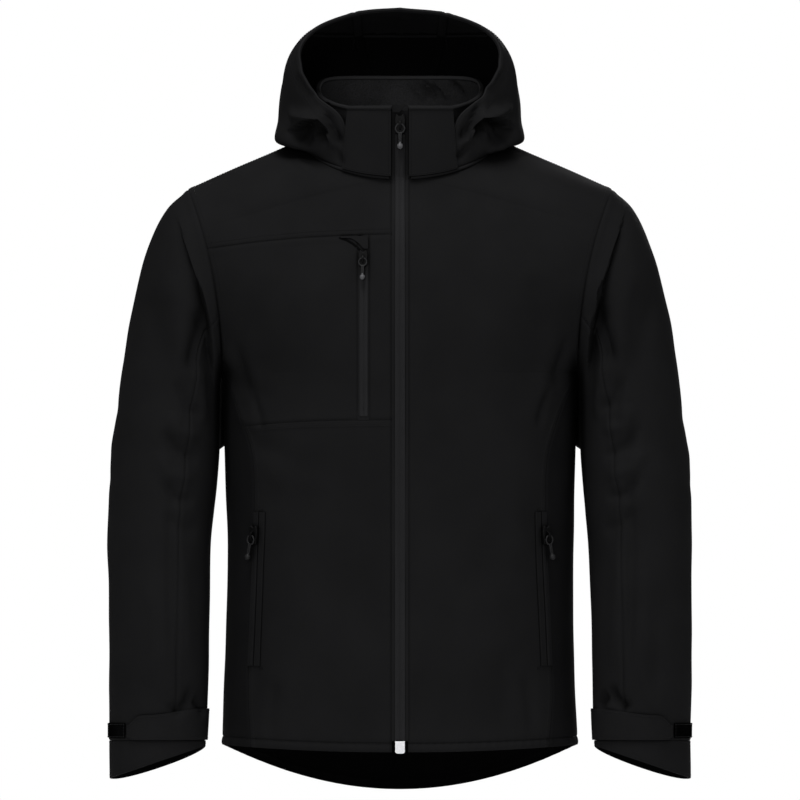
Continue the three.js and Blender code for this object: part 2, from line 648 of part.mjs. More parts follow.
// Half an arch from the neckline to the crown
function hoodArch(arch) {
  const value = (column) => read(hoodArches, 'arch', arch, column);
  const low = [value('lowX'), value('lowY'), value('lowZ')];
  const wide = [value('wideX'), value('wideY'), value('wideZ')];
  const top = [0, value('topY'), value('topZ')];
  const tucked = plus(mixPoint(low, wide, 0.45), [-value('tuck'), 0, -Math.abs(value('tuck')) / 3]);
  const over = [0.35, 0.7, 1].map((share) => {
    const angle = (share * Math.PI) / 2;
    return [wide[0] * Math.cos(angle), ...mixPoint(wide, top, Math.sin(angle)).slice(1)];
  });
  const knots = [hoodBase(value('psi')), low, tucked, wide, ...over];
  return new THREE.CatmullRomCurve3(knots.map((knot) => new THREE.Vector3(...knot)), false, 'centripetal');
}

const archCache = new Map();

function hoodPoint(arch, share) {
  if (!archCache.has(arch)) archCache.set(arch, hoodArch(arch));
  return archCache.get(arch).getPointAt(clamp(share, 0, 1)).toArray();
}

function hoodSpot(arch, share) {
  const p = hoodPoint(arch, share);
  const away = [p[0] * 1.2, p[1] - 20, p[2] - 20];
  const n = surfaceNormal(hoodPoint, clamp(arch, 0.05, 5.95), clamp(share, 0.03, 0.97), away, 0.025);
  return share > 0.999 ? { p: [0, p[1], p[2]], n: unit([0, n[1], n[2]]) } : { p, n };
}

function hood() {
  const arches = range(HOOD_ROWS).map((share) => share * 6);
  const side = range(HOOD_SIDE_STEPS).map((share) => share * HOOD_SEAM);
  const centre = range(HOOD_CENTRE_STEPS).map((share) => mix(HOOD_SEAM, 1, share));
  const sideGrid = arches.map((arch) => side.map((share) => hoodSpot(arch, share)));
  addPair('hood_side', trimmed(sideGrid), CLOTH, cloth);
  const centreGrid = arches.map((arch) => centre.map((share) => hoodSpot(arch, share)));
  add('hood_centre', wall(trimmed(bothHalves(centreGrid))), cloth);
  const brim = [0, 1];
  const facing = brim.map((i) => [...sideGrid[i].slice(FACING_START), ...centreGrid[i].slice(1)]);
  add('hood_facing', wall(lifted(bothHalves(facing), -CLOTH - 2 * SEAM_GAP), TRIM), lining);
}

// Zip slider and pull tab, joined from simple closed shapes

function toManifold(geometry) {
  const bare = geometry.clone();
  bare.deleteAttribute('normal');
  bare.deleteAttribute('uv');
  const merged = mergeVertices(bare, 1e-4);
  const vertProperties = new Float32Array(merged.attributes.position.array);
  const triVerts = new Uint32Array(merged.index.array);
  return new wasm.Manifold(new wasm.Mesh({ numProp: 3, vertProperties, triVerts }));
}

function joined(geometries) {
  const [first, ...rest] = geometries.map(toManifold);
  const mesh = rest.reduce((body, next) => body.add(next), first).getMesh();
  const geometry = new THREE.BufferGeometry();
  geometry.setAttribute('position', new THREE.BufferAttribute(new Float32Array(mesh.vertProperties), 3));
  geometry.setIndex(new THREE.BufferAttribute(new Uint32Array(mesh.triVerts), 1));
  return geometry;
}

// Extrudes an outline drawn in x and z, from a front face at y = -front to y = back
function plate(outline, front, back, curveSegments = 6) {
  const settings = { depth: front + back, bevelEnabled: false, curveSegments };
  const geometry = new THREE.ExtrudeGeometry(outline, settings);
  geometry.rotateX(Math.PI / 2);
  return geometry.translate(0, back, 0);
}

function shapeOf(points) {
  return new THREE.Shape(points.map(([x, z]) => new THREE.Vector2(x, z)));
}

function sliderGeometry() {
  const { wide, narrow, up, down, face, back: rear } = slider;
  const body = shapeOf([
    [-narrow / 2, -down], [narrow / 2, -down], [wide / 2, up * 0.45], [wide / 2 - 2, up],
    [1.2, up - 2.2], [-1.2, up - 2.2], [2 - wide / 2, up], [-wide / 2, up * 0.45],
  ]);
  const hoop = shapeOf([
    [face + 0.4, bridge.outer], [-bridge.outer, bridge.outer], [-bridge.outer, -bridge.outer],
    [face + 0.4, -bridge.outer], [face + 0.4, -bridge.inner], [-bridge.inner, -bridge.inner],
    [-bridge.inner, bridge.inner], [face + 0.4, bridge.inner],
  ]);
  // The hoop is drawn in depth and height, and turned so that its width runs along the hinge line
  const loop = new THREE.ExtrudeGeometry(hoop, { depth: bridge.wide, bevelEnabled: false });
  loop.rotateX(Math.PI / 2);
  loop.rotateZ(Math.PI / 2);
  loop.translate(-bridge.wide / 2, 0, 0);
  return joined([plate(body, -face, rear), loop]);
}

function pullGeometry() {
  const { ringOut, ringIn, ringDown, thick, shaftWide, shaftEnd, bulb, bulbDown } = pull;
  const ring = new THREE.Shape();
  ring.absarc(0, -ringDown, ringOut, 0, 2 * Math.PI, false);
  const hole = new THREE.Path();
  hole.absarc(0, -ringDown, ringIn, 0, 2 * Math.PI, true);
  ring.holes.push(hole);
  const shaftTop = -ringDown - ringIn - 0.6;
  const shaft = shapeOf([
    [-shaftWide / 2, -shaftEnd - 1], [shaftWide / 2, -shaftEnd - 1],
    [shaftWide / 2, shaftTop], [-shaftWide / 2, shaftTop],
  ]);
  const knob = new THREE.Shape();
  knob.absarc(0, -bulbDown, bulb, 0, 2 * Math.PI, false);
  const half = thick / 2;
  return joined([plate(ring, half, half, 8), plate(shaft, half + 0.2, half + 0.2), plate(knob, 1.4, 1.4, 8)]);
}

// Places a geometry drawn about a hinge line on the cloth, at a point with an outward and an upward direction
function placedAt(geometry, at, outward, up, lean = 0) {
  const backward = new THREE.Vector3(...outward).negate().normalize();
  const upward = new THREE.Vector3(...up);
  const right = new THREE.Vector3().crossVectors(backward, upward).normalize();
  upward.crossVectors(right, backward);
  const turned = geometry.clone().rotateY(lean);
  turned.applyMatrix4(new THREE.Matrix4().makeBasis(right, backward, upward));
  return turned.translate(...at);
}

const sliderShape = sliderGeometry();
const pullShape = pullGeometry();

function addSlider(name, spot, up, size = 1, lean = 0) {
  const at = plus(spot.p, spot.n, slider.back * size + SEAM_GAP);
  const scaled = (shape) => shape.clone().scale(size, size, size);
  add(`${name}_slider`, placedAt(scaled(sliderShape), at, spot.n, up), moulded);
  add(`${name}_pull`, placedAt(scaled(pullShape), at, spot.n, up, lean), moulded);
}

// Front zip, from the hem up the body and the collar

function centreFrontY(z) {
  if (z < NECK.frontZ) return -read(frontDepths, 'z', z, 'y');
  return mix(-NECK.front, -collarTop.front, (z - NECK.frontZ) / (collarTop.frontZ - NECK.frontZ));
}

function tapeSpot(x, z) {
  const slope = (centreFrontY(z + 2) - centreFrontY(z - 2)) / 4;
  return { p: [x, centreFrontY(z) + SEAM_GAP, z], n: unit([0, -1, slope]) };
}

function frontZipPieces() {
  const inner = SEAM_GAP / 2;
  const outer = OPENING_X - SEAM_GAP / 2;
  const { bottomZ, topZ, hingeZ, boxWide, boxHigh, boxThick } = frontZip;
  const grid = range(18).map((share) => [inner, outer].map((x) => tapeSpot(x, mix(bottomZ, topZ, share))));
  addPair('front_zip_tape', grid, TRIM, tape);
  addSlider('front_zip', tapeSpot(0, hingeZ), [0, 0, 1]);

  const corner = 2.6;
  const half = boxWide / 2;
  const box = new THREE.Shape();
  box.moveTo(-half, 0);
  box.lineTo(-half, corner - boxHigh);
  box.absarc(corner - half, corner - boxHigh, corner, Math.PI, 1.5 * Math.PI, false);
  box.absarc(half - corner, corner - boxHigh, corner, 1.5 * Math.PI, 2 * Math.PI, false);
  box.lineTo(half, 0);
  const boxAt = [0, centreFrontY(HEM.frontZ) + SEAM_GAP, bottomZ - SEAM_GAP];
  add('front_zip_box', plate(box, boxThick / 2, boxThick / 2).translate(...boxAt), steel);

  const garage = [
    { z: 38.2, left: -8.4, right: -1 },
    { z: 46.6, left: -8.4, right: 8.4 },
  ];
  const fold = garage.map(({ z, left, right }) => range(2).map((share) => {
    const { p, n } = tapeSpot(mix(left, right, share), z);
    return { p: plus(p, n, SEAM_GAP + TRIM), n };
  }));
  add('chin_garage', wall(fold, TRIM), cloth);
}

// Chest zip: the slider, and the quarter-round garage over the zip's upper end

function frontSpotAt(x, z) {
  const v = solve(0.05, 1.9, z, (level) => bodyPoint(-1, shareAtX(-1, x, level), level)[2]);
  return bodySpot(shareAtX(-1, x, v), v);
}

function chestZipPieces() {
  const middle = (chestZip.innerX + chestZip.outerX) / 2;
  const spot = mirroredSpot(frontSpotAt(middle, chestZip.sliderZ));
  addSlider('chest_zip', spot, [0, 0, 1], CHEST_SLIDER);
  const { left, right, top, bottom, radius, least } = chestGarage;
  const columns = range(6).map((share) => {
    const x = mix(right, left, share);
    const drop = radius * (1 - Math.sqrt(1 - (1 - share) ** 2));
    return [top - clamp(drop, least, top - bottom), top].map((z) => frontSpotAt(x, z));
  });
  const grid = [0, 1].map((row) => columns.map((column) => column[row]));
  add('chest_zip_garage', wall(mirrored(lifted(grid, SEAM_GAP + TRIM)), TRIM), cloth);
}

// Hand pockets: a strip of zip along the gore seam with a welt on its front side

function seamSpot(offset, z) {
  const seamX = read(sideSeam, 'z', z, 'x');
  return frontSpotAt(seamX + offset, z);
}

function handPockets() {
  const { topZ, bottomZ, tapeWide, weltWide, sliderZ, lean } = handPocket;
  const strip = (from, to, lift) => range(6).map((share) => {
    const z = mix(bottomZ, topZ, share);
    return [from, to].map((offset) => {
      const { p, n } = seamSpot(offset, z);
      return { p: plus(p, n, lift), n };
    });
  });
  addPair('hand_pocket_tape', strip(-tapeWide, 0, SEAM_GAP + TRIM), TRIM, tape);
  const welt = strip(-tapeWide - SEAM_GAP - weltWide, -tapeWide - SEAM_GAP, SEAM_GAP + CLOTH);
  addPair('hand_pocket_welt', welt, CLOTH, cloth);
  const spot = seamSpot(-tapeWide / 2, sliderZ);
  const raised = { p: plus(spot.p, spot.n, SEAM_GAP + CLOTH), n: spot.n };
  const up = unit(minus(seamSpot(-tapeWide / 2, sliderZ + 40).p, spot.p));
  addSlider('hand_pocket_left', raised, up, 1, -lean);
  addSlider('hand_pocket_right', mirroredSpot(raised), [-up[0], up[1], up[2]], 1, lean);
}

frontLeft();
rightFront();
sideGores();
back();
sleeves();
cuffEnds();
cuffTrims();
collarPieces();
hood();
frontZipPieces();
chestZipPieces();
handPockets();

export default group;
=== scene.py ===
"""A hooded softshell jacket, zipped up and filled out with nobody in it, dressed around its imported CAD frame.

Lengths are in millimetres until a mesh is made. The front faces -Y, the wearer's left is +X, and z = 0 is
level with the side of the neck. Surfaces are the CAD's own, worked out on finer grids and given their folds.
"""

import json
import math

import bpy
import numpy as np
from mathutils import Matrix, Vector
from mathutils.bvhtree import BVHTree
from mathutils.kdtree import KDTree

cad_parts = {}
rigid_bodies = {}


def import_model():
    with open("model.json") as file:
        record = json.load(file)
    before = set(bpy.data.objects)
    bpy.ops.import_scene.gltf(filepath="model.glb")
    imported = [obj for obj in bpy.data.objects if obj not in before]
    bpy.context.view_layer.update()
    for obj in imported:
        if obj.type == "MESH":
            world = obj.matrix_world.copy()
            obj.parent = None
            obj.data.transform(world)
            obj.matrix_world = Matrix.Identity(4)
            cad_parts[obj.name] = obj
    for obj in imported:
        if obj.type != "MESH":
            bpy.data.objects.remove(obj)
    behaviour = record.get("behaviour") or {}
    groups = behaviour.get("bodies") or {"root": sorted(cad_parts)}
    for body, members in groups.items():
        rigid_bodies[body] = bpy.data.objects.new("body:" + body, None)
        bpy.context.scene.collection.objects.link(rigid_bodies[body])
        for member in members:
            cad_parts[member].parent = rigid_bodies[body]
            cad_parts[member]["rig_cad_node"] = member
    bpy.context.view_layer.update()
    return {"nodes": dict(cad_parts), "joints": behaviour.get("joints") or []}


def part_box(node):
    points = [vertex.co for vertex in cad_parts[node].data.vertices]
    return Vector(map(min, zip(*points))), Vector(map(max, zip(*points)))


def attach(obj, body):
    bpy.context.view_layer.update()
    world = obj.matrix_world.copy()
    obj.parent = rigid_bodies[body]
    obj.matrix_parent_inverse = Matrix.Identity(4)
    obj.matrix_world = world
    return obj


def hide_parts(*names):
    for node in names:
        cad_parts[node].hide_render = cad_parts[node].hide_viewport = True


MM = 0.001

# Cloth
CLOTH = 2.0
TRIM = 1.4
SEAM_GAP = 0.3
WELT_THICK = 0.7
CLOSED_GAP = 0.04
OPENING_X = 8.8

# Lengths and heights of the body
UNDERARM_Z = -246.0
HEM_FRONT_Z, HEM_SIDE_Z, HEM_BACK_Z = -663.0, -656.0, -707.0
NECK_HALF, NECK_FRONT, NECK_BACK = 103.0, 90.0, 76.0
NECK_FRONT_Z, NECK_SIDE_Z, NECK_BACK_Z = -34.0, 12.0, 14.0
HEM_CLIMB, CHEST_CLIMB, SHOULDER_CLIMB = 2.0, 1.3, 1.0
ARM_ROWS = 16
NECK_V = 1 + 11 / ARM_ROWS

# Body outline from the front and from the side, as height and half width or depth
BODY_WIDTHS = [(-656, 195.8), (-560, 192), (-450, 190.2), (-340, 193), (-246, 195.6)]
FRONT_DEPTHS = [(-663, 132), (-430, 124), (-300, 125), (-180, 127), (-100, 114), (-34, 90)]
BACK_DEPTHS = [(-707, 130), (-420, 112), (-246, 124), (-140, 130), (-50, 116), (14, 76)]
SIDE_SEAM = [(-656, 163), (-600, 167), (-470, 162), (-390, 159.5), (-334, 162.5), (-284, 178), (-246, 194.8)]

# Sleeve rings from the armhole to the cuff seam: outermost and innermost point, half depth, place and bow
SLEEVE = {
    "out_x": [233, 257, 276, 293, 304, 312, 318.5, 321, 321.6, 321.8, 320.4, 319.5],
    "out_z": [-46, -69, -110, -180, -235, -297, -350, -409, -480, -545, -604, -651],
    "in_x": [196, 197.6, 198, 198, 198.6, 201, 204, 207, 209, 210.3, 211.6, 213.4],
    "in_z": [-246, -262, -285, -318, -341, -372, -400, -434, -492, -549, -604, -651],
    "depth": [76, 78, 76, 72, 69, 66, 64, 61, 58, 55, 52, 50],
    "y": [0, 1, 2, 1, -1, -5, -10, -16, -23, -29, -33, -35],
    "bow": [10, 5, 1, 0, 0, 0, 0, 0, 0, 0, 0, 0],
}
LAST_RING = 11
SEAM_TURN = 10 * math.pi / ARM_ROWS
HOLLOW_TURN, HOLLOW_TURN_WIDE, HOLLOW_RING, HOLLOW_RING_WIDE, HOLLOW_DEEP = 2.2, 0.45, 1.9, 1.1, 7.0
CUFF_INNER_Z, CUFF_SLOPE, CUFF_BACK_DROP = -657.0, 35.0, 8.0

# Collar, and the hood's arches from its opening edge back to the nape
COLLAR_HALF, COLLAR_FRONT, COLLAR_BACK = 91.0, 92.0, 70.0
COLLAR_FRONT_Z, COLLAR_SIDE_Z, COLLAR_BACK_Z = 41.5, 61.0, 76.0
BINDING_HIGH, BINDING_LIFT, BINDING_THICK = 4.2, 0.6, 3.2
FLAP_REACH = 0.37
HOOD_LIFT = CLOTH + 1
FLAP_LIFT = HOOD_LIFT + CLOTH + 3.5 * SEAM_GAP
HOOD = {
    "psi": [30, 50, 70, 90, 112, 135, 158],
    "tuck": [-11, 1, 0, 0, 1, 3, 0],
    "low_x": [64, 102, 131, 135, 119, 84, 35],
    "low_y": [-75, -55, -30, 5, 44, 76, 76],
    "low_z": [30, 6, 5, 8, 10, 12, 16],
    "wide_x": [112, 126, 130, 131, 118, 86, 30],
    "wide_y": [-62, -42, -12, 24, 66, 92, 78],
    "wide_z": [106, 88, 66, 54, 44, 34, 17],
    "top_y": [-48, -22, 22, 66, 100, 108, 80],
    "top_z": [153, 152, 142, 122, 92, 56, 17],
}
LAST_ARCH = 6
HOOD_SEAM = 0.82
FACED_Z = 127.0

# Distances of the stitching from the edges, and the dips that it pulls into the cloth
NEAR_STITCH, FAR_STITCH, HEM_STITCH, ZIP_STITCH = 1.7, 6.4, 9.5, 1.9
HEM_DIP, HEM_DIP_WIDE, PUCKER, PUCKER_LONG = 1.1, 1.4, 0.32, 13.0
FACING_FROM = 4 / 9 * HOOD_SEAM
FACING_ARCH = 0.5


# Small helpers


def mix(a, b, share):
    return a + (b - a) * share


def ramp(low, high, value):
    """0 below low, 1 above high, and smooth between them."""
    share = np.clip((value - low) / (high - low), 0, 1)
    return share * share * (3 - 2 * share)


def stack(x, y, z):
    return np.stack(np.broadcast_arrays(x, y, z), axis=-1).astype(float)


def unit(a):
    return a / np.maximum(np.linalg.norm(a, axis=-1, keepdims=True), 1e-12)


def cubic(places, values, at):
    """Reads values given at rising places smoothly at any place between them."""
    places, values = np.asarray(places, float), np.asarray(values, float)
    at = np.clip(at, places[0], places[-1])
    i = np.clip(np.searchsorted(places, at) - 1, 0, len(places) - 2)
    before, after = np.maximum(np.arange(len(places)) - 1, 0), np.minimum(np.arange(len(places)) + 1, len(places) - 1)
    slopes = (values[after] - values[before]) / (places[after] - places[before])
    width = places[i + 1] - places[i]
    s = (at - places[i]) / width
    curve = (2 * s**3 - 3 * s**2 + 1) * values[i] + (3 * s**2 - 2 * s**3) * values[i + 1]
    return curve + (s**3 - 2 * s**2 + s) * width * slopes[i] + (s**3 - s**2) * width * slopes[i + 1]


def read(table, at):
    """Reads a table of (place, value) rows smoothly."""
    return cubic([row[0] for row in table], [row[1] for row in table], at)


def spaced(count, near=0.0):
    """Shares from 0 to 1, even, with two more steps beside each end at the given share from it."""
    even = np.linspace(0, 1, count + 1)
    if not near:
        return even
    inner = even[(even > 2.2 * near) & (even < 1 - 2.2 * near)]
    return np.concatenate([[0, near * 0.45, near, near * 2], inner, [1 - near * 2, 1 - near, 1 - near * 0.45, 1]])


# Surfaces, as in the CAD


def sleeve_point(turn, ring):
    """turn is 0 on the outer line and positive to the front, and ring 0 is the armhole."""
    rings = np.arange(LAST_RING + 1)
    value = {name: cubic(rings, column, ring) for name, column in SLEEVE.items()}
    share = (1 + np.cos(turn)) / 2
    side = np.sin(turn)
    hollow = np.exp(
        -(((turn - HOLLOW_TURN) / HOLLOW_TURN_WIDE) ** 2) - ((ring - HOLLOW_RING) / HOLLOW_RING_WIDE) ** 2
    ) * np.minimum(ring, 1)
    return stack(
        mix(value["in_x"], value["out_x"], share) - value["bow"] * side**2,
        value["y"] - value["depth"] * side + HOLLOW_DEEP * hollow,
        mix(value["in_z"], value["out_z"], share),
    )


def armhole_at(face, v):
    return sleeve_point(-face * math.pi * (2 - np.clip(v, 1, 2)), 0.0)


def neck_at(face, place):
    """Neckline from the centre line at 0 to the side of the neck at 1."""
    start = math.asin(OPENING_X / NECK_HALF) if face < 0 else 0.0
    angle = mix(start, math.pi / 2, np.clip(place, 0, 1))
    depth, centre_z = (NECK_FRONT, NECK_FRONT_Z) if face < 0 else (NECK_BACK, NECK_BACK_Z)
    return stack(
        NECK_HALF * np.sin(angle), face * depth * np.cos(angle), mix(centre_z, NECK_SIDE_Z, 1 - np.cos(angle))
    )


def body_row(face, v):
    """Start and end of the row at level v, from the centre line to the side, and how far it turns."""
    depths = FRONT_DEPTHS if face < 0 else BACK_DEPTHS
    hem_z, neck_z = (HEM_FRONT_Z, NECK_FRONT_Z) if face < 0 else (HEM_BACK_Z, NECK_BACK_Z)
    start_x = OPENING_X if face < 0 else 0.0
    low = (v <= 1)[..., None]
    centre_z = np.where(v <= 1, mix(hem_z, UNDERARM_Z, v), mix(UNDERARM_Z, neck_z, (v - 1) / (NECK_V - 1)))
    centre = stack(start_x, face * read(depths, centre_z), centre_z)
    neck = neck_at(face, (v - NECK_V) / (2 - NECK_V))
    start = np.where((v < NECK_V)[..., None], centre, neck)
    side_z = mix(HEM_SIDE_Z, UNDERARM_Z, v)
    end = np.where(low, stack(read(BODY_WIDTHS, side_z), 0.0, side_z), armhole_at(face, v))
    bend_z = mix(UNDERARM_Z, neck_z, 0.5 / (NECK_V - 1))
    bend = abs(armhole_at(face, 1.5)[1]) / read(depths, bend_z)
    openness = np.clip(end[..., 1] / np.where(start[..., 1] == 0, 1, start[..., 1]), 0, 1)
    upper = np.where(v < 1.5, np.arccos(openness), math.acos(min(bend, 1)))
    return start, end, np.where(v <= 1, math.pi / 2, upper)


def body_point(face, t, v):
    start, end, turn = body_row(face, v)
    across = np.sin(turn * t) / np.sin(turn)
    deep = (1 - np.cos(turn * t)) / (1 - np.cos(turn))
    upper_climb = mix(CHEST_CLIMB, SHOULDER_CLIMB, np.clip((v - 1.5) / 0.5, 0, 1))
    climb = np.abs(across) ** np.where(v < 1, HEM_CLIMB, upper_climb)
    shares = stack(across, deep, climb)
    return mix(start, end, shares)


def body_around(around, v):
    """around is 0 at the centre front, 1 at the side and 2 at the centre back."""
    around, v = np.broadcast_arrays(np.asarray(around, float), np.asarray(v, float))
    front = body_point(-1, np.minimum(around, 1), v)
    rear = body_point(1, np.minimum(2 - around, 1), v)
    return np.where((around <= 1)[..., None], front, rear)


def share_at_x(x, v):
    """Place along the front's row v at a distance x from the middle plane."""
    v = np.asarray(v, float)
    start, end, turn = body_row(-1, v)
    across = np.clip((x - start[..., 0]) / (end[..., 0] - start[..., 0]), 0, 1)
    return np.arcsin(across * np.sin(turn)) / turn


def front_edge(v):
    """Outer edge of the front: the gore's seam up to the underarm, then the armhole."""
    v = np.asarray(v, float)
    low = np.minimum(v, 1)
    seam = share_at_x(read(SIDE_SEAM, mix(HEM_SIDE_Z, UNDERARM_Z, low)), low)
    return mix(seam, 1, np.clip((v - 1) * ARM_ROWS, 0, 1))


def back_edge(v):
    return np.maximum(2 - front_edge(v), 1 + 1e-6)


def level_at(column, seam_z):
    """Level at which each column of the front meets a seam drawn as seen from the front."""
    low, high = np.zeros(len(column(np.zeros(1)))), np.full(len(column(np.zeros(1))), 1.95)
    for _ in range(40):
        middle = (low + high) / 2
        p = body_around(column(middle), middle)
        under = p[:, 2] < seam_z(p[:, 0])
        low, high = np.where(under, middle, low), np.where(under, high, middle)
    return (low + high) / 2


def collar_point(place, height):
    """place runs from 0 at the zip to 1 at the side of the neck and 2 at the centre back."""
    place, height = np.broadcast_arrays(np.asarray(place, float), np.asarray(height, float))
    share = np.where(place <= 1, place, 2 - place)
    start = math.asin(OPENING_X / COLLAR_HALF)
    front_angle, back_angle = mix(start, math.pi / 2, share), mix(0, math.pi / 2, share)
    front_rise = mix(COLLAR_FRONT_Z, COLLAR_SIDE_Z, np.clip((share - 0.38) / 0.62, 0, 1) ** 1.3)
    front_top = stack(COLLAR_HALF * np.sin(front_angle), -COLLAR_FRONT * np.cos(front_angle), front_rise)
    back_rise = mix(COLLAR_BACK_Z, COLLAR_SIDE_Z, share**5)
    back_top = stack(COLLAR_HALF * np.sin(back_angle), COLLAR_BACK * np.cos(back_angle), back_rise)
    front = (place <= 1)[..., None]
    bottom = np.where(front, neck_at(-1, share), neck_at(1, share))
    return mix(bottom, np.where(front, front_top, back_top), height[..., None])


def outward(surface, a, b, away, reach=0.03):
    """Outward direction of a surface of two parameters."""
    n = unit(np.cross(surface(a + reach, b) - surface(a - reach, b), surface(a, b + reach) - surface(a, b - reach)))
    return np.where((n * away).sum(-1, keepdims=True) < 0, -n, n)


def collar_out(place, height):
    p = collar_point(place, height)
    away = stack(p[..., 0], p[..., 1], 0.0)
    return outward(collar_point, np.clip(place, 0.04, 1.96), np.clip(height, 0.04, 0.96), away)


def arch_curve(knots, steps=24):
    """Points along the centripetal curve through the knots."""
    points = [2 * knots[0] - knots[1], *knots, 2 * knots[-1] - knots[-2]]
    line = []
    for a, b, c, d in zip(points, points[1:], points[2:], points[3:]):
        before, along, after = (math.sqrt(np.linalg.norm(q - p)) for p, q in ((a, b), (b, c), (c, d)))
        into = ((b - a) / before - (c - a) / (before + along) + (c - b) / along) * along
        out = ((c - b) / along - (d - b) / (along + after) + (d - c) / after) * along
        s = np.linspace(0, 1, steps, endpoint=False)[:, None]
        line.append((2 * s**3 - 3 * s**2 + 1) * b + (s**3 - 2 * s**2 + s) * into
                    + (3 * s**2 - 2 * s**3) * c + (s**3 - s**2) * out)
    return np.vstack([*line, knots[-1][None]])


def along_line(line, shares):
    """Points at even shares of a line's length."""
    length = np.concatenate([[0], np.cumsum(np.linalg.norm(np.diff(line, axis=0), axis=1))])
    return np.stack([np.interp(np.asarray(shares) * length[-1], length, line[:, k]) for k in range(3)], axis=-1)


def hood_row(arch, shares):
    """Points up one half arch of the hood, from the neckline to the crown."""
    value = {name: float(cubic(np.arange(LAST_ARCH + 1), column, arch)) for name, column in HOOD.items()}
    place = np.array(value["psi"] / 90)
    base = collar_point(place, 0.0)
    flat = unit(collar_out(place, np.array(0.0)) * [1, 1, 0])
    base = base + flat * HOOD_LIFT + [0, 0, 1.6]
    low = np.array([value["low_x"], value["low_y"], value["low_z"]])
    wide = np.array([value["wide_x"], value["wide_y"], value["wide_z"]])
    top = np.array([0, value["top_y"], value["top_z"]])
    tucked = mix(low, wide, 0.45) + [-value["tuck"], 0, -abs(value["tuck"]) / 3]
    over = []
    for share in (0.35, 0.7, 1):
        angle = share * math.pi / 2
        spot = mix(wide, top, math.sin(angle))
        over.append(np.array([wide[0] * math.cos(angle), spot[1], spot[2]]))
    return along_line(arch_curve([base, low, tucked, wide, *over]), shares)


# Grids of points with their outward directions


def grid_normals(points, outside, closed=False):
    """Directions across a grid of points, turned to the side that the outside points are on."""
    if closed:
        wide = np.concatenate([points[:, -1:], points, points[:, :1]], axis=1)
        across = (wide[:, 2:] - wide[:, :-2])
    else:
        across = np.gradient(points, axis=1)
    n = unit(np.cross(across, np.gradient(points, axis=0)))
    turned = ((points - outside) * n).sum() < 0
    return -n if turned else n


def body_panel(first, last, rows, shares, lows=None, highs=None, column=None):
    """Grid between two borders of the body. Rows that reach the neckline stay level, as in the CAD."""
    column = column or (lambda share, v: mix(first(v), last(v), share))
    lows = np.full(len(shares), rows[0]) if lows is None else lows
    highs = np.full(len(shares), rows[-1]) if highs is None else highs
    span = min(rows[-1], NECK_V) - rows[0]
    up = (rows[:, None] - rows[0]) / span
    v = np.where(rows[:, None] >= NECK_V, rows[:, None], mix(lows, np.minimum(highs, NECK_V), up))
    return body_around(column(shares[None, :], v), v)


def mirrored(points):
    return points * [-1, 1, 1]


def both_halves(points):
    """Joins a half grid, whose last column lies on the middle plane, to its mirror image."""
    middle = points.copy()
    middle[:, -1, 0] = 0
    return np.concatenate([middle, mirrored(middle)[:, -2::-1]], axis=1)


# Meshes


def new_piece(name, vertices, faces, finish, smooth_angle=0.6):
    mesh = bpy.data.meshes.new(name)
    mesh.from_pydata((np.asarray(vertices) * MM).tolist(), [], faces.tolist() if isinstance(faces, np.ndarray) else faces)
    mesh.polygons.foreach_set("use_smooth", [True] * len(mesh.polygons))
    mesh.set_sharp_from_angle(angle=smooth_angle)
    mesh.materials.append(finish)
    mesh.update()
    piece = bpy.data.objects.new(name, mesh)
    bpy.context.scene.collection.objects.link(piece)
    return piece


def wall_faces(rows, columns, closed):
    steps = columns if closed else columns - 1
    i, j = np.meshgrid(np.arange(rows - 1), np.arange(steps), indexing="ij")
    k = (j + 1) % columns
    layer = rows * columns
    outer = np.stack([i * columns + j, i * columns + k, (i + 1) * columns + k, (i + 1) * columns + j], -1).reshape(-1, 4)
    inner = outer[:, ::-1] + layer
    a, b = np.arange(steps), (np.arange(steps) + 1) % columns
    top = (rows - 1) * columns
    low = np.stack([a, a + layer, b + layer, b], -1)
    high = np.stack([top + a, top + b, top + b + layer, top + a + layer], -1)
    faces = [outer, inner, low, high]
    if not closed:
        r = np.arange(rows - 1) * columns
        end = columns - 1
        faces.append(np.stack([r, r + columns, r + columns + layer, r + layer], -1))
        faces.append(np.stack([r + end, r + end + layer, r + end + columns + layer, r + end + columns], -1))
    return np.concatenate(faces)


def volume_of(vertices, faces):
    a, b, c, d = (vertices[faces[:, k]] for k in range(4))
    return (a * np.cross(b, c)).sum() + (a * np.cross(c, d)).sum()


def wall(name, points, normals, thickness, finish, closed=False, inner=None, faced_z=None):
    """A closed sheet: the outer grid, the inner one a thickness behind it, and the rim between them."""
    rows, columns = points.shape[:2]
    vertices = np.concatenate([points.reshape(-1, 3), (points - normals * thickness).reshape(-1, 3)])
    faces = wall_faces(rows, columns, closed)
    if volume_of(vertices, faces) < 0:
        faces = faces[:, ::-1]
    piece = new_piece(name, vertices, faces, finish)
    if inner:
        line_inside(piece, rows, columns, closed, inner, faced_z)
    return piece


def line_inside(piece, rows, columns, closed, inner, faced_z=None):
    """Gives a wall's inner side its own finish, up to the height where the outer cloth faces it."""
    count = (rows - 1) * (columns if closed else columns - 1)
    piece.data.materials.append(inner)
    if faced_z is not None:
        piece.data.materials.append(SHEETS["hood_facing"].finish)
    for polygon in piece.data.polygons[count:2 * count]:
        if faced_z is None or polygon.center.z < faced_z * MM:
            polygon.material_index = 1
        elif len(piece.data.materials) > 2:
            polygon.material_index = 2


# Sheets: every cloth piece as a grid, before its folds


class Sheet:
    """One cloth piece: its outer grid, its outward directions, and how it is cut and held."""

    def __init__(self, name, points, inside, finish, slot, flat, area, thickness=CLOTH, closed=False):
        self.name, self.points, self.finish, self.slot = name, points, finish, slot
        self.flat, self.area, self.thickness, self.closed = flat, area, thickness, closed
        self.normals = grid_normals(points, inside, closed)
        self.rest = points.copy()
        self.inner, self.faced_z = None, None
        self.neck_row = 0


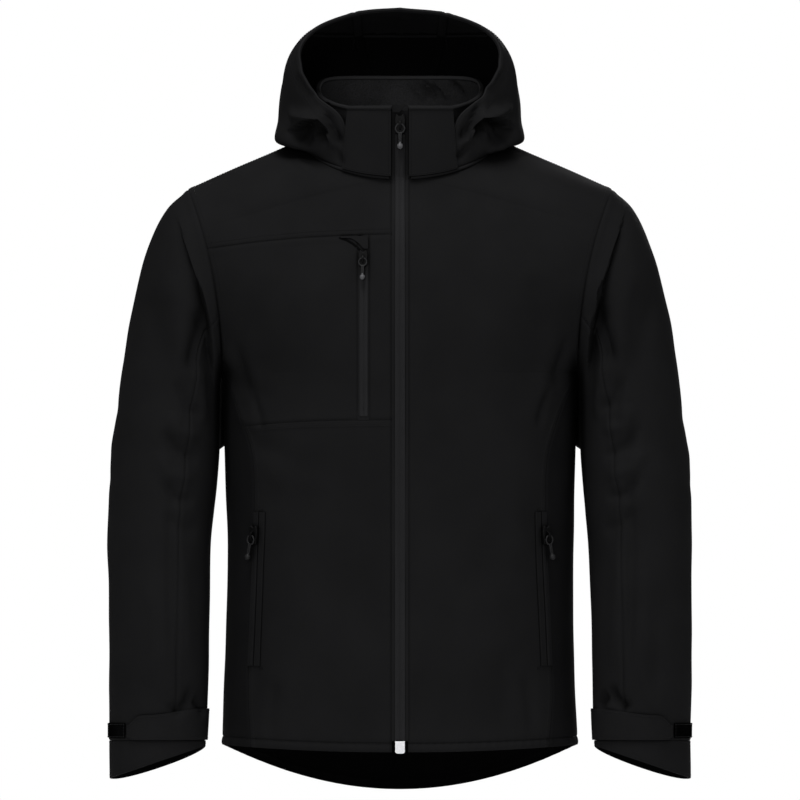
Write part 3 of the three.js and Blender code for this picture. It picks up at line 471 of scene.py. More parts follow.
SHEETS = {}


def add_sheet(name, points, inside, finish, slot, flat, area=None, thickness=CLOTH, closed=False):
    SHEETS[name] = Sheet(name, points, inside, finish, slot, flat, area, thickness, closed)


def add_sheet_pair(name, points, inside, *facts, **more):
    add_sheet(f"{name}_left", points, inside, *facts, **more)
    add_sheet(f"{name}_right", mirrored(points), mirrored(inside), *facts, **more)


def axis_of(points):
    """Points of the garment's upright middle line, level with each point of a grid."""
    return points * [0, 0, 1]


def rows_between(low, high, step=3.7):
    """Levels of the body's rows, close together at both ends."""
    count = int((high - low) * (UNDERARM_Z - HEM_SIDE_Z) / step)
    levels = mix(low, high, spaced(count, 2.2 / (count * step)))
    if low == 0:
        hem = np.array([HEM_STITCH - HEM_DIP_WIDE, HEM_STITCH, HEM_STITCH + HEM_DIP_WIDE])
        levels = np.append(levels, hem / (UNDERARM_Z - HEM_SIDE_Z))
    return np.unique(np.round(np.append(levels, [v for v in (1.0, NECK_V) if low < v < high]), 6))


def drawn_in(points, low=1, high=1, first=1, last=1):
    """Draws the edges of a grid in by half a closed seam's gap, so that neighbours stay just apart."""
    result = points.copy()
    half = CLOSED_GAP / 2
    for line, within, share in (
        ((0, slice(None)), (1, slice(None)), low),
        ((-1, slice(None)), (-2, slice(None)), high),
        ((slice(None), 0), (slice(None), 1), first),
        ((slice(None), -1), (slice(None), -2), last),
    ):
        result[line] += unit(points[within] - points[line]) * half * share
    return result


CHEST_ZIP_INNER_X, CHEST_ZIP_OUTER_X = 34.5, 46.0


def yoke_seam_z(x):
    return -95.7 - 12.1 * (x / 185) ** 2


def lower_seam_z(x):
    return -299.2 - 6.6 * (x / 168) ** 3


def chest_column(share, v):
    """Columns of the right front: 0 at the zip, 1 and 2 either side of the chest zip, 3 at the outer edge."""
    strip, pocket, edge = share_at_x(CHEST_ZIP_INNER_X, v), share_at_x(CHEST_ZIP_OUTER_X, v), front_edge(v)
    inner = np.where(share <= 1, share * strip, mix(strip, pocket, share - 1))
    return np.where(share <= 2, inner, mix(pocket, edge, share - 2))


def make_body(shell, gore):
    columns = spaced(78, 0.008)
    left = body_panel(lambda v: 0.0, front_edge, rows_between(0, 2), columns)
    add_sheet("front_left_panel", drawn_in(left), axis_of(left), shell, "shell", (0.25, 0.66), 0.137)

    inner, zip_part = spaced(8, 0.06), np.array([0, 0.5, 1.0])
    outer = spaced(60, 0.01)
    wide = np.concatenate([inner, 1 + zip_part[1:], 2 + outer[1:]])
    yoke_levels = level_at(lambda v: chest_column(wide, v), yoke_seam_z)
    lower_levels = level_at(lambda v: chest_column(wide, v), lower_seam_z)
    yoke_end, lower_end = yoke_levels[-1], lower_levels[-1]

    yoke = body_panel(None, None, rows_between(yoke_end, 2), wide, lows=yoke_levels,
                      highs=np.full(len(wide), 2.0), column=lambda share, v: chest_column(share, yoke_levels))
    add_sheet("front_right_yoke", mirrored(drawn_in(yoke)), mirrored(axis_of(yoke)), shell, "shell",
              (0.25, 0.15), 0.0235)
    middle_rows = rows_between(lower_end, yoke_end)
    for name, part, slot, flat, area, lift in (
        ("chest_pocket_panel", slice(len(inner) + 1, None), "shell", (0.18, 0.21), 0.034, 0),
        ("chest_strip_panel", slice(0, len(inner)), "shell", (0.028, 0.207), None, 0),
    ):
        grid = body_panel(None, None, middle_rows, wide[part], lows=lower_levels[part], highs=yoke_levels[part],
                          column=chest_column)
        add_sheet(name, mirrored(drawn_in(grid)), mirrored(axis_of(grid)), shell, slot, flat, area)
    lower = body_panel(None, None, rows_between(0, lower_end), wide, highs=lower_levels, column=chest_column)
    add_sheet("front_right_lower", mirrored(drawn_in(lower)), mirrored(axis_of(lower)), shell, "shell",
              (0.19, 0.365), 0.064)

    side = body_panel(front_edge, back_edge, rows_between(0, 1), spaced(44, 0.012))
    add_sheet_pair("side_panel", drawn_in(side, high=2), axis_of(side), gore, "gore", (0.16, 0.43), 0.052)


def make_back(shell):
    """The back's last column is the middle line up to the neck, and runs along the neckline above it."""
    rows = rows_between(0, 2)
    half = body_panel(back_edge, lambda v: 2.0, rows, spaced(60, 0.008))
    neck_row = int(np.searchsorted(rows, NECK_V - 1e-9))
    grid = drawn_in(half, last=0)
    above = slice(neck_row + 1, None)
    grid[above, -1] += unit(half[above, -2] - half[above, -1]) * CLOSED_GAP / 2
    grid[neck_row, -1] += unit(half[neck_row - 1, -1] - half[neck_row, -1]) * CLOSED_GAP / 2
    grid[: neck_row + 1, -1, 0] = 0
    SHEETS["back_panel"] = sheet = Sheet("back_panel", grid, axis_of(grid), shell, "shell", (0.62, 0.74), 0.36)
    sheet.neck_row = neck_row
    sheet.normals[: neck_row + 1, -1, 0] = 0
    sheet.normals = unit(sheet.normals)


def sleeve_middle(points, ring):
    top, under = sleeve_point(0.0, ring), sleeve_point(math.pi, ring)
    return np.broadcast_to(((top + under) / 2)[:, None, :], points.shape)


def make_sleeves(shell):
    ring = spaced(186, 0.004) * LAST_RING
    for name, start, end, count, flat, area in (
        ("upper_sleeve", -SEAM_TURN, SEAM_TURN, 88, (0.31, 0.62), 0.136),
        ("under_sleeve", SEAM_TURN, 2 * math.pi - SEAM_TURN, 56, (0.18, 0.47), 0.061),
    ):
        turn = mix(start, end, spaced(count, 0.012))
        grid = sleeve_point(turn[None, :], ring[:, None])
        add_sheet_pair(name, drawn_in(grid, low=2), sleeve_middle(grid, ring), shell, "shell", flat, area)


def cuff_end_z(turn):
    return CUFF_INNER_Z - CUFF_SLOPE * (1 + np.cos(turn)) / 2 - CUFF_BACK_DROP * np.clip(-np.sin(turn), 0, 1)


def make_cuff_ends(shell):
    turn = np.linspace(0, 2 * math.pi, 96, endpoint=False)
    ring = np.full_like(turn, LAST_RING)
    seam = sleeve_point(turn, ring)
    share = spaced(9, 0.04)[:, None]
    z = mix(seam[None, :, 2] - SEAM_GAP, cuff_end_z(turn)[None, :], share)
    grid = np.concatenate([np.repeat(seam[None, :, :2], len(share), axis=0), z[..., None]], axis=-1)
    inside = np.broadcast_to(seam.mean(axis=0) * [1, 1, 0], grid.shape) + grid * [0, 0, 1]
    add_sheet_pair("cuff_end", grid, inside, shell, "shell", (0.33, 0.042), 0.0094, closed=True)


def sleeve_strip(turns, tops, bottoms, lift):
    """A strip that lies on the sleeve, with its own top and bottom height at each turn."""
    low, high = np.full(len(turns), 9.0), np.full(len(turns), 11.0)
    rows = []
    for share in spaced(10, 0.05):
        goal = mix(bottoms, tops, share)
        a, b = low.copy(), high.copy()
        for _ in range(30):
            middle = (a + b) / 2
            above = sleeve_point(turns, middle)[:, 2] > goal
            a, b = np.where(above, middle, a), np.where(above, b, middle)
        rows.append(sleeve_point(turns, (a + b) / 2))
    points = np.array(rows)
    middle = sleeve_middle(points, np.linspace(10.2, 10.8, len(points)))
    return points + grid_normals(points, middle) * lift, middle


TAB_INNER_TURN, TAB_TIP_TURN, TAB_TOP_Z, TAB_TIP_TOP_Z, TAB_BOTTOM_Z = 3.5, 0.92, -616.0, -623.0, -650.4
TAB_CORNER_DROP, TAB_CORNER_RISE = 11.0, 3.0
PATCH_INNER_TURN, PATCH_OUTER_TURN, PATCH_TOP_Z, PATCH_BOTTOM_Z = 0.86, -0.25, -632.0, -648.0


def make_cuff_trims(shell, nap):
    share = spaced(44, 0.01)
    tops = mix(TAB_TOP_Z, TAB_TIP_TOP_Z, ramp(0.35, 0.87, share)) - TAB_CORNER_DROP * ramp(0.84, 1, share) ** 2
    bottoms = TAB_BOTTOM_Z + TAB_CORNER_RISE * ramp(0.93, 1, share) ** 2
    tab, middle = sleeve_strip(mix(TAB_INNER_TURN, TAB_TIP_TURN, share), tops, bottoms, SEAM_GAP + CLOTH)
    add_sheet_pair("cuff_tab", tab, middle, shell, "shell", (0.145, 0.035), 0.0043)
    share = spaced(20, 0.03)
    patch, middle = sleeve_strip(mix(PATCH_INNER_TURN, PATCH_OUTER_TURN, share), np.full(len(share), PATCH_TOP_Z),
                                 np.full(len(share), PATCH_BOTTOM_Z), SEAM_GAP + TRIM)
    add_sheet_pair("loop_patch", patch, middle, nap, "loop_nap", (0.06, 0.016), None, thickness=TRIM)


def make_collar(shell, lining, piping):
    places, heights = spaced(90, 0.004) * 2, spaced(22, 0.03)
    half = both_halves(collar_point(places[None, :], heights[:, None]))
    add_sheet("collar", drawn_in(half, low=2, high=0), axis_of(half), lining, "fleece", (0.51, 0.08), 0.038)

    top = collar_point(places, np.ones_like(places))
    flat = unit(collar_out(places, np.ones_like(places)) * [1, 1, 0])
    ups = [SEAM_GAP, 1.4, 2.9, BINDING_HIGH]
    bulge = [0, 1.1, 1.1, 0]
    edge = np.array([top + flat * (BINDING_LIFT + out) + [0, 0, up] for up, out in zip(ups, bulge)])
    edge = both_halves(edge)
    round_both_ways = BINDING_THICK + 2 * np.array(bulge)[:, None, None]
    add_sheet("collar_binding", edge, axis_of(edge), piping, "shell", (0.5, 0.01), 0.0042,
              thickness=round_both_ways)
    SHEETS["collar_binding"].normals = unit(SHEETS["collar_binding"].normals * [1, 1, 0])

    flap_places, flap_heights = mix(0.004, FLAP_REACH, spaced(26, 0.03)), mix(0.03, 1.03, spaced(20, 0.03))
    flap = collar_point(flap_places[None, :], flap_heights[:, None])
    flap = flap + grid_normals(flap, axis_of(flap)) * FLAP_LIFT
    add_sheet_pair("collar_flap", flap, axis_of(flap), shell, "shell", (0.058, 0.08), 0.0043)


def make_hood(shell, lining):
    arches = spaced(84, 0.006) * LAST_ARCH
    side_shares, centre_shares = spaced(100, 0.008) * HOOD_SEAM, mix(HOOD_SEAM, 1, spaced(22, 0.03))
    side = np.array([hood_row(arch, side_shares) for arch in arches])
    centre = both_halves(np.array([hood_row(arch, centre_shares) for arch in arches]))
    inside = np.array([0, 20, 60.0])
    add_sheet_pair("hood_side", drawn_in(side), np.broadcast_to(inside, side.shape), shell, "shell", (0.3, 0.22), 0.043)
    add_sheet("hood_centre", drawn_in(centre), np.broadcast_to(inside, centre.shape), shell, "shell", (0.1, 0.33), 0.024)

    brim_arches = np.linspace(0.006, FACING_ARCH, 8)
    brim = both_halves(np.array([hood_row(arch, mix(FACING_FROM, 1, spaced(60, 0.01))) for arch in brim_arches]))
    brim = brim - grid_normals(brim, np.broadcast_to(inside, brim.shape)) * (CLOTH + 2 * SEAM_GAP)
    add_sheet("hood_facing", brim, np.broadcast_to(inside, brim.shape), lining, "fleece", (0.3, 0.015), None,
              thickness=TRIM)


# Zips, garages and hand pockets as sheets

FRONT_ZIP_BOTTOM_Z, FRONT_ZIP_TOP_Z = -650.6, 40.5
CHIN_LOW_Z, CHIN_HIGH_Z, CHIN_HALF, CHIN_LOW_END = 38.2, 46.6, 8.4, -1.0
GARAGE_LEFT, GARAGE_RIGHT, GARAGE_TOP_Z, GARAGE_BOTTOM_Z = 65.0, 35.0, -97.8, -111.6
GARAGE_RADIUS, GARAGE_LEAST = 31.0, 2.0
POCKET_TOP_Z, POCKET_BOTTOM_Z, POCKET_TAPE_WIDE, POCKET_WELT_WIDE = -400.0, -569.0, 5.4, 6.4


def centre_front_y(z):
    up = (z - NECK_FRONT_Z) / (COLLAR_FRONT_Z - NECK_FRONT_Z)
    return np.where(z < NECK_FRONT_Z, -read(FRONT_DEPTHS, z), mix(-NECK_FRONT, -COLLAR_FRONT, up))


def tape_point(x, z):
    x, z = np.broadcast_arrays(np.asarray(x, float), np.asarray(z, float))
    return stack(x, centre_front_y(z) + SEAM_GAP, z)


def front_spot(x, z):
    """Points of the front of the body at places across and up, as seen from the front."""
    x, z = np.broadcast_arrays(np.asarray(x, float), np.asarray(z, float))
    low, high = np.full(x.shape, 0.02), np.full(x.shape, 1.9)
    for _ in range(40):
        middle = (low + high) / 2
        under = body_point(-1, share_at_x(x, middle), middle)[..., 2] < z
        low, high = np.where(under, middle, low), np.where(under, high, middle)
    return body_point(-1, share_at_x(x, low), low)


def lifted(points, inside, lift):
    return points + grid_normals(points, inside) * lift


def make_zip_cloth(shell, tape):
    z = mix(FRONT_ZIP_BOTTOM_Z, FRONT_ZIP_TOP_Z, np.linspace(0, 1, 170))[:, None]
    x = np.linspace(CLOSED_GAP, OPENING_X - CLOSED_GAP, 7)[None, :]
    grid = tape_point(x, z)
    add_sheet_pair("front_zip_tape", grid, axis_of(grid), tape, "zip_tape", (0.0173, 0.7), 0.0061, thickness=TRIM)

    height = mix(CHIN_LOW_Z, CHIN_HIGH_Z, spaced(6, 0.06))[:, None]
    end = mix(CHIN_LOW_END, CHIN_HALF, spaced(6, 0.06))[:, None]
    fold = tape_point(mix(-CHIN_HALF, end, spaced(14, 0.03)[None, :]), height)
    fold = lifted(fold, axis_of(fold), SEAM_GAP + TRIM)
    add_sheet("chin_garage", fold, axis_of(fold), shell, "shell", (0.0168, 0.014), 0.000115, thickness=TRIM)

    share = spaced(20, 0.03)
    x = mix(GARAGE_RIGHT, GARAGE_LEFT, share)
    drop = GARAGE_RADIUS * (1 - np.sqrt(1 - (1 - share) ** 2))
    low = GARAGE_TOP_Z - np.clip(drop, GARAGE_LEAST, GARAGE_TOP_Z - GARAGE_BOTTOM_Z)
    patch = front_spot(x[None, :], mix(low[None, :], GARAGE_TOP_Z, spaced(8, 0.05)[:, None]))
    patch = mirrored(lifted(patch, axis_of(patch), SEAM_GAP + TRIM))
    add_sheet("chest_zip_garage", patch, axis_of(patch), shell, "shell", (0.032, 0.015), 0.00026, thickness=TRIM)

    zip_levels = level_at(lambda v: chest_column(np.array([1.0, 1.5, 2.0]), v), yoke_seam_z)
    low_levels = level_at(lambda v: chest_column(np.array([1.0, 1.5, 2.0]), v), lower_seam_z)
    columns = np.linspace(1, 2, 9)
    rows = mix(low_levels.mean(), zip_levels.mean(), np.linspace(0, 1, 60))
    chest = body_around(chest_column(columns[None, :], rows[:, None]), np.broadcast_to(rows[:, None], (60, 9)))
    chest = mirrored(lifted(drawn_in(chest, 4, 4), axis_of(chest), -SEAM_GAP))
    add_sheet("chest_zip_tape", chest, axis_of(chest), tape, "zip_tape", (0.0125, 0.207), 0.0022, thickness=TRIM)


def make_hand_pockets(shell, tape):
    z = mix(POCKET_BOTTOM_Z, POCKET_TOP_Z, spaced(50, 0.01))[:, None]
    seam = read(SIDE_SEAM, z)

    def strip(start, end, lift):
        grid = front_spot(seam + mix(start, end, spaced(6, 0.12))[None, :], np.broadcast_to(z, (len(z), 1)))
        return lifted(grid, axis_of(grid), lift)

    grid = strip(-POCKET_TAPE_WIDE, 0, SEAM_GAP + TRIM)
    add_sheet_pair("hand_pocket_tape", grid, axis_of(grid), tape, "zip_tape", (0.0105, 0.17), 0.0015, thickness=TRIM)
    welt_from = -POCKET_TAPE_WIDE - SEAM_GAP
    grid = strip(welt_from - POCKET_WELT_WIDE, welt_from, SEAM_GAP + WELT_THICK)
    add_sheet_pair("hand_pocket_welt", grid, axis_of(grid), shell, "shell", (0.0105, 0.17), 0.0017,
                   thickness=WELT_THICK)


# Folds


def seen(cloud, plane, toward, spot, near=9.0):
    """The point of the garment that a viewer along an axis sees at a spot of his picture plane."""
    away = np.hypot(cloud[:, plane[0]] - spot[0], cloud[:, plane[1]] - spot[1])
    close = cloud[away < near]
    return close[np.argmax(close @ toward)]


VIEWS = {
    "front": ((0, 2), np.array([0, -1.0, 0])),
    "back": ((0, 2), np.array([0, 1.0, 0])),
    "left": ((1, 2), np.array([1.0, 0, 0])),
    "right": ((1, 2), np.array([-1.0, 0, 0])),
}


TUCK_EDGE, TUCK_LIP = 1.8, 0.3


def fold_push(points, normals, line, wide, deep, stepped):
    """How far a fold moves each point out: a soft ridge or trough, or a tuck that drops sharply on its outer side."""
    push = np.zeros(len(points))
    low, high = line.min(0) - 3 * wide, line.max(0) + 3 * wide
    near = np.flatnonzero(((points > low) & (points < high)).all(1))
    if not len(near):
        return push
    p, n = points[near], normals[near]
    best, where, side = np.full(len(near), 1e9), np.zeros(len(near)), np.ones(len(near))
    lengths = np.linalg.norm(np.diff(line, axis=0), axis=1)
    start = np.concatenate([[0], np.cumsum(lengths)]) / lengths.sum()
    for k, length in enumerate(lengths):
        along = (line[k + 1] - line[k]) / length
        t = np.clip((p - line[k]) @ along, 0, length)
        off = p - line[k] - t[:, None] * along
        far = np.linalg.norm(off, axis=1)
        closer = far < best
        best = np.where(closer, far, best)
        where = np.where(closer, start[k] + t / lengths.sum(), where)
        side = np.where(closer, np.sign((np.cross(n, along) * off).sum(1)), side)
    fade = ramp(-0.02, 0.3, where) * ramp(1.02, 0.7, where)
    near_share = best / wide
    shape = np.exp(-near_share**2)
    if stepped:
        over = ramp(-TUCK_EDGE, TUCK_EDGE, side * best)
        shape = mix(TUCK_LIP * shape, -np.exp(-near_share**1.5), over)
    push[near] = deep * fade * shape
    return push


SEAM_DIP, SEAM_DIP_WIDE = 0.9, 1.3
ALLOWANCE_HIGH, ALLOWANCE_FROM, ALLOWANCE_TO = 0.4, 5.0, 8.5


NO_SEAM_NEAR = 1000.0


def edge_distances(points, closed=False):
    """How far each point of a grid is from its low, high, first and last edge, along the cloth."""
    def lengths(axis):
        steps = np.linalg.norm(np.diff(points, axis=axis), axis=-1)
        pad = [(1, 0), (0, 0)] if axis == 0 else [(0, 0), (1, 0)]
        return np.pad(np.cumsum(steps, axis=axis), pad)

    up, across = lengths(0), lengths(1)
    far = np.full(up.shape, NO_SEAM_NEAR)
    return [up, up[-1:] - up, far if closed else across, far if closed else across[:, -1:] - across]


def seam_relief(points, closed, neck_row=0):
    """The cloth dips into each seam and stands a little high over the seam allowances beside it."""
    push = np.zeros(points.shape[:2])
    sides = edge_distances(points, closed)
    sides[3][:neck_row] = NO_SEAM_NEAR
    for away in sides:
        push -= SEAM_DIP * np.exp(-((away / SEAM_DIP_WIDE) ** 2))
        push += ALLOWANCE_HIGH * (1 - ramp(ALLOWANCE_FROM, ALLOWANCE_TO, away))
    return push


def hem_relief(points):
    """The groove along the hem's stitching, and small uneven puckers below it."""
    away = edge_distances(points)[0]
    round_way = np.abs(np.arctan2(points[..., 0], -points[..., 1])) * 160 + points[..., 0] * 0.3
    wave = np.sin(2 * math.pi * round_way / PUCKER_LONG + 2 * np.sin(round_way / 37))
    below = 1 - ramp(HEM_STITCH - 2, HEM_STITCH + 9, away)
    return PUCKER * wave * below - HEM_DIP * np.exp(-(((away - HEM_STITCH) / HEM_DIP_WIDE) ** 2))


def softness(points):
    """Slow uneven swells of soft cloth, the same on both sides of a seam."""
    x, y, z = (points[:, k] for k in range(3))
    slow = np.sin(x / 41 + 1.3 * np.sin(z / 67) + 0.7) * np.sin(z / 53 + y / 47 + 0.8 * np.sin(x / 59))
    quick = np.sin(x / 17 + y / 21 + 2 * np.sin(z / 44)) * np.sin(z / 23 - x / 61 + 1.1)
    return 0.75 * slow + 0.28 * quick


# Folds drawn as a viewer sees them: the view, points across and up, half width, depth (out is positive) and kind.
# Those in PAIRED are for the viewer's right in the front view and come back on the other side, a little unlike.
RIDGE, TUCK = False, True
PAIRED_FOLDS = [
    # the body stands over the sleeve along the armhole
    ("front", [(256, -62), (248, -82), (238, -112), (228, -141), (216, -175), (208, -202), (202, -230), (198, -266)],
     9, 5.5, TUCK),
    ("front", [(234, -124), (222, -158), (212, -188), (205, -216), (200, -250)], 11, 6.5, TUCK),
    # hollow of the armpit, and the cloth that swells out under it
    ("front", [(222, -176), (217, -204), (222, -226), (229, -250)], 8, -9.0, RIDGE),
    ("front", [(214, -232), (212, -262), (208, -300)], 8, 4.2, RIDGE),
    ("front", [(196, -205), (186, -236), (178, -268)], 9, -3.4, RIDGE),
    ("front", [(180, -214), (166, -258), (160, -300)], 12, 2.6, RIDGE),
    ("front", [(172, -262), (164, -290), (160, -312)], 5.5, -3.0, RIDGE),
    # upper arm
    ("front", [(268, -120), (254, -170), (242, -222), (238, -262)], 12, 3.6, RIDGE),
    ("front", [(288, -150), (276, -200), (266, -250)], 14, -2.8, RIDGE),
    # elbow creases
    ("front", [(244, -256), (226, -278), (208, -288)], 7, -4.2, RIDGE),
    ("front", [(262, -280), (238, -302), (212, -312)], 8, 3.8, RIDGE),
    ("front", [(270, -298), (242, -326), (214, -338)], 6.5, -4.6, RIDGE),
    ("front", [(278, -322), (246, -350), (216, -360)], 8.5, 3.8, RIDGE),
    ("front", [(270, -350), (242, -376), (216, -384)], 6.5, -4.2, RIDGE),
    ("front", [(258, -388), (236, -410), (214, -418)], 8, -2.8, RIDGE),
    # forearm: the seam's crease and long soft runs
    ("front", [(243, -350), (246, -420), (246, -500), (242, -560), (236, -600)], 6, -2.7, RIDGE),
    ("front", [(232, -420), (230, -500), (226, -570)], 9, 2.6, RIDGE),
    ("front", [(276, -440), (280, -520), (274, -600)], 16, 2.4, RIDGE),
    ("front", [(288, -480), (290, -560), (286, -610)], 10, -2.1, RIDGE),
    ("front", [(250, -604), (238, -612), (228, -600), (222, -584)], 6, -7.0, RIDGE),
    ("front", [(222, -596), (214, -606), (210, -618)], 7, -6.5, RIDGE),
    # hood: the roll above the collar and the hollow under it
    ("front", [(134, 48), (124, 43), (112, 38), (98, 32), (88, 24)], 6.0, 8.0, RIDGE),
    ("front", [(136, 25), (124, 31), (110, 35), (98, 32), (91, 20), (88, 8)], 12, 17.0, TUCK),
    ("front", [(130, 20), (118, 18), (104, 13)], 9, -8.0, RIDGE),
    ("front", [(128, -2), (112, -6), (100, -12)], 5, 3.0, RIDGE),
    ("front", [(96, 46), (86, 28), (72, 6)], 4.5, -6.5, RIDGE),
    ("front", [(106, 54), (94, 36), (82, 10), (72, -8)], 5, 4.6, RIDGE),
    ("front", [(84, 10), (76, -4), (68, -12)], 4, -4.5, RIDGE),
    ("front", [(124, 84), (112, 66), (100, 52)], 7, -3.6, RIDGE),
    ("front", [(112, 104), (104, 84), (98, 70)], 6, 2.4, RIDGE),
    # chest and front
    ("front", [(60, -50), (96, -70), (140, -82)], 16, 2.1, RIDGE),
    ("front", [(150, -130), (162, -180), (168, -224)], 14, -2.4, RIDGE),
    ("front", [(130, -330), (138, -400), (134, -470)], 16, 1.8, RIDGE),
    ("front", [(70, -480), (78, -560), (74, -640)], 20, 2.0, RIDGE),
    ("front", [(118, -540), (124, -600), (120, -655)], 13, -2.1, RIDGE),
    ("front", [(146, -566), (152, -610), (154, -648)], 9, -2.7, RIDGE),
    ("front", [(28, -560), (32, -610), (30, -655)], 10, -1.4, RIDGE),
    # back
    ("back", [(206, -120), (196, -170), (186, -214), (180, -250)], 12, 3.4, RIDGE),
    ("back", [(222, -110), (212, -160), (204, -206), (199, -246)], 8, -4.4, RIDGE),
    ("back", [(188, -236), (160, -262), (128, -276)], 10, -2.8, RIDGE),
    ("back", [(190, -262), (160, -292), (120, -308)], 11, 2.6, RIDGE),
    ("back", [(176, -300), (140, -326), (96, -338)], 10, -2.4, RIDGE),
    ("back", [(150, -340), (110, -360), (60, -366)], 12, 2.0, RIDGE),
    ("back", [(96, -150), (104, -220), (98, -290)], 20, -1.9, RIDGE),
    ("back", [(60, -400), (66, -500), (60, -620)], 18, -2.1, RIDGE),
    ("back", [(104, -430), (112, -540), (110, -660)], 20, 1.9, RIDGE),
    ("back", [(148, -420), (152, -520), (150, -640)], 13, -2.0, RIDGE),
    ("back", [(120, -60), (150, -76), (184, -84)], 12, -1.6, RIDGE),
    ("back", [(262, -130), (246, -190), (236, -250)], 13, 2.4, RIDGE),
    ("back", [(286, -270), (262, -292), (232, -296)], 9, 2.6, RIDGE),
    ("back", [(290, -300), (264, -322), (230, -324)], 8, -3.0, RIDGE),
    ("back", [(290, -340), (266, -356), (232, -354)], 9, 2.4, RIDGE),
    ("back", [(290, -376), (266, -388), (236, -384)], 8, -2.2, RIDGE),
    ("back", [(262, -430), (268, -510), (262, -590)], 13, 1.7, RIDGE),
    ("back", [(284, -450), (290, -530), (284, -610)], 10, -1.5, RIDGE),
    ("back", [(100, 66), (112, 48), (110, 26)], 9, -2.6, RIDGE),
    ("back", [(70, 92), (84, 62), (86, 34)], 10, 2.2, RIDGE),
]
SINGLE_FOLDS = [
    ("back", [(6, 20), (2, -60), (8, -160), (2, -250)], 22, -1.8, RIDGE),
    ("back", [(-70, -372), (0, -384), (84, -374)], 12, -1.8, RIDGE),
    ("back", [(-40, 40), (2, 30), (44, 38)], 9, -2.6, RIDGE),
    ("back", [(-60, 64), (0, 56), (56, 66)], 11, 2.2, RIDGE),
    ("left", [(-30, -90), (-6, -150), (-12, -220)], 17, 1.8, RIDGE),
    ("left", [(34, -270), (0, -292), (-40, -286)], 10, -0.9, RIDGE),
    ("left", [(30, -312), (-6, -330), (-50, -318)], 10, 0.8, RIDGE),
    ("left", [(24, -352), (-14, -366), (-52, -352)], 8, -0.8, RIDGE),
    ("left", [(-18, -420), (-30, -500), (-26, -600)], 13, -1.8, RIDGE),
    ("left", [(40, 100), (66, 70), (72, 40)], 11, -3.0, RIDGE),
    ("left", [(-20, 120), (10, 96), (24, 60)], 12, 2.0, RIDGE),
    ("right", [(-26, -86), (-2, -150), (-10, -230)], 18, 1.7, RIDGE),
    ("right", [(32, -262), (-2, -280), (-44, -276)], 9, -0.8, RIDGE),
    ("right", [(28, -302), (-8, -318), (-48, -308)], 11, 0.9, RIDGE),
    ("right", [(20, -342), (-16, -358), (-54, -346)], 9, -0.8, RIDGE),
    ("right", [(-20, -430), (-34, -510), (-28, -606)], 12, -1.7, RIDGE),
    ("right", [(38, 104), (62, 72), (70, 38)], 12, -2.8, RIDGE),
    ("right", [(-22, 118), (8, 92), (22, 58)], 11, 2.1, RIDGE),
]
OTHER_SIDE, OTHER_SHIFT = 0.82, (2.0, -5.0)

# Wrinkles of the collar's inner back, as seen from the front
COLLAR_WRINKLES = [
    ([(2, 72), (14, 60), (22, 48)], 3.8, -6.5),
    ([(14, 75), (26, 62), (36, 48)], 4.0, 5.0),
    ([(30, 75), (42, 62), (50, 48)], 3.8, -7.5),
    ([(46, 74), (56, 64), (64, 54)], 3.6, 5.0),
    ([(-30, 72), (-20, 60), (-14, 50)], 5.5, -1.4),
    ([(-60, 70), (-50, 58), (-44, 50)], 5.0, 1.4),
]


def all_folds():
    folds = list(SINGLE_FOLDS)
    for view, spots, wide, deep, kind in PAIRED_FOLDS:
        folds.append((view, spots, wide, deep, kind))
        other = [(-x + OTHER_SHIFT[0], z + OTHER_SHIFT[1]) for x, z in spots]
        if kind is TUCK:
            other = other[::-1]
        folds.append((view, other, wide * 1.06, deep * OTHER_SIDE, kind))
    return folds


FOLDED = ("front_left_panel", "front_right_yoke", "chest_pocket_panel", "chest_strip_panel", "front_right_lower",
          "side_panel_left", "side_panel_right", "back_panel", "upper_sleeve_left", "upper_sleeve_right",
          "under_sleeve_left", "under_sleeve_right", "hood_side_left", "hood_side_right", "hood_centre")


HEMMED = ("front_left_panel", "front_right_lower", "side_panel_left", "side_panel_right", "back_panel")


def fold_cloth():
    """Moves the sheets of the body, sleeves and hood by their folds, and all sheets by the soft swells."""
    cloud = np.concatenate([SHEETS[name].rest.reshape(-1, 3) for name in FOLDED])
    lines = []
    for view, spots, wide, deep, kind in all_folds():
        plane, toward = VIEWS[view]
        line = np.array([seen(cloud, plane, toward, spot) for spot in spots])
        lines.append((line, wide, deep, kind))
    moves = {}
    collar = SHEETS["collar"].rest.reshape(-1, 3)
    collar_back = collar[collar[:, 1] > 0]
    wrinkles = [(np.array([seen(collar_back, *VIEWS["front"], spot) for spot in spots]), wide, deep, RIDGE)
                for spots, wide, deep in COLLAR_WRINKLES]
    for name, sheet in SHEETS.items():
        points, normals = sheet.rest.reshape(-1, 3), sheet.normals.reshape(-1, 3)
        push = softness(points)
        if name == "collar":
            push += sum(fold_push(points, normals, *wrinkle) for wrinkle in wrinkles)
        for line, wide, deep, kind in lines:
            push += fold_push(points, normals, line, wide, deep, kind)
        push = push.reshape(sheet.rest.shape[:2])
        if name in FOLDED:
            push += seam_relief(sheet.rest, sheet.closed, sheet.neck_row)
        if name in HEMMED:
            push += hem_relief(sheet.rest)
        moves[name] = sheet.normals * push[..., None]
    join_borders(moves)
    for name, sheet in SHEETS.items():
        sheet.points = sheet.rest + moves[name]
        if name.startswith("under_sleeve"):
            close_armpit(sheet.points)


JOIN_NEAR, JOIN_FADE = 3.5, 16.0
EDGES = {"low": (0, slice(None)), "high": (-1, slice(None)), "first": (slice(None), 0), "last": (slice(None), -1)}


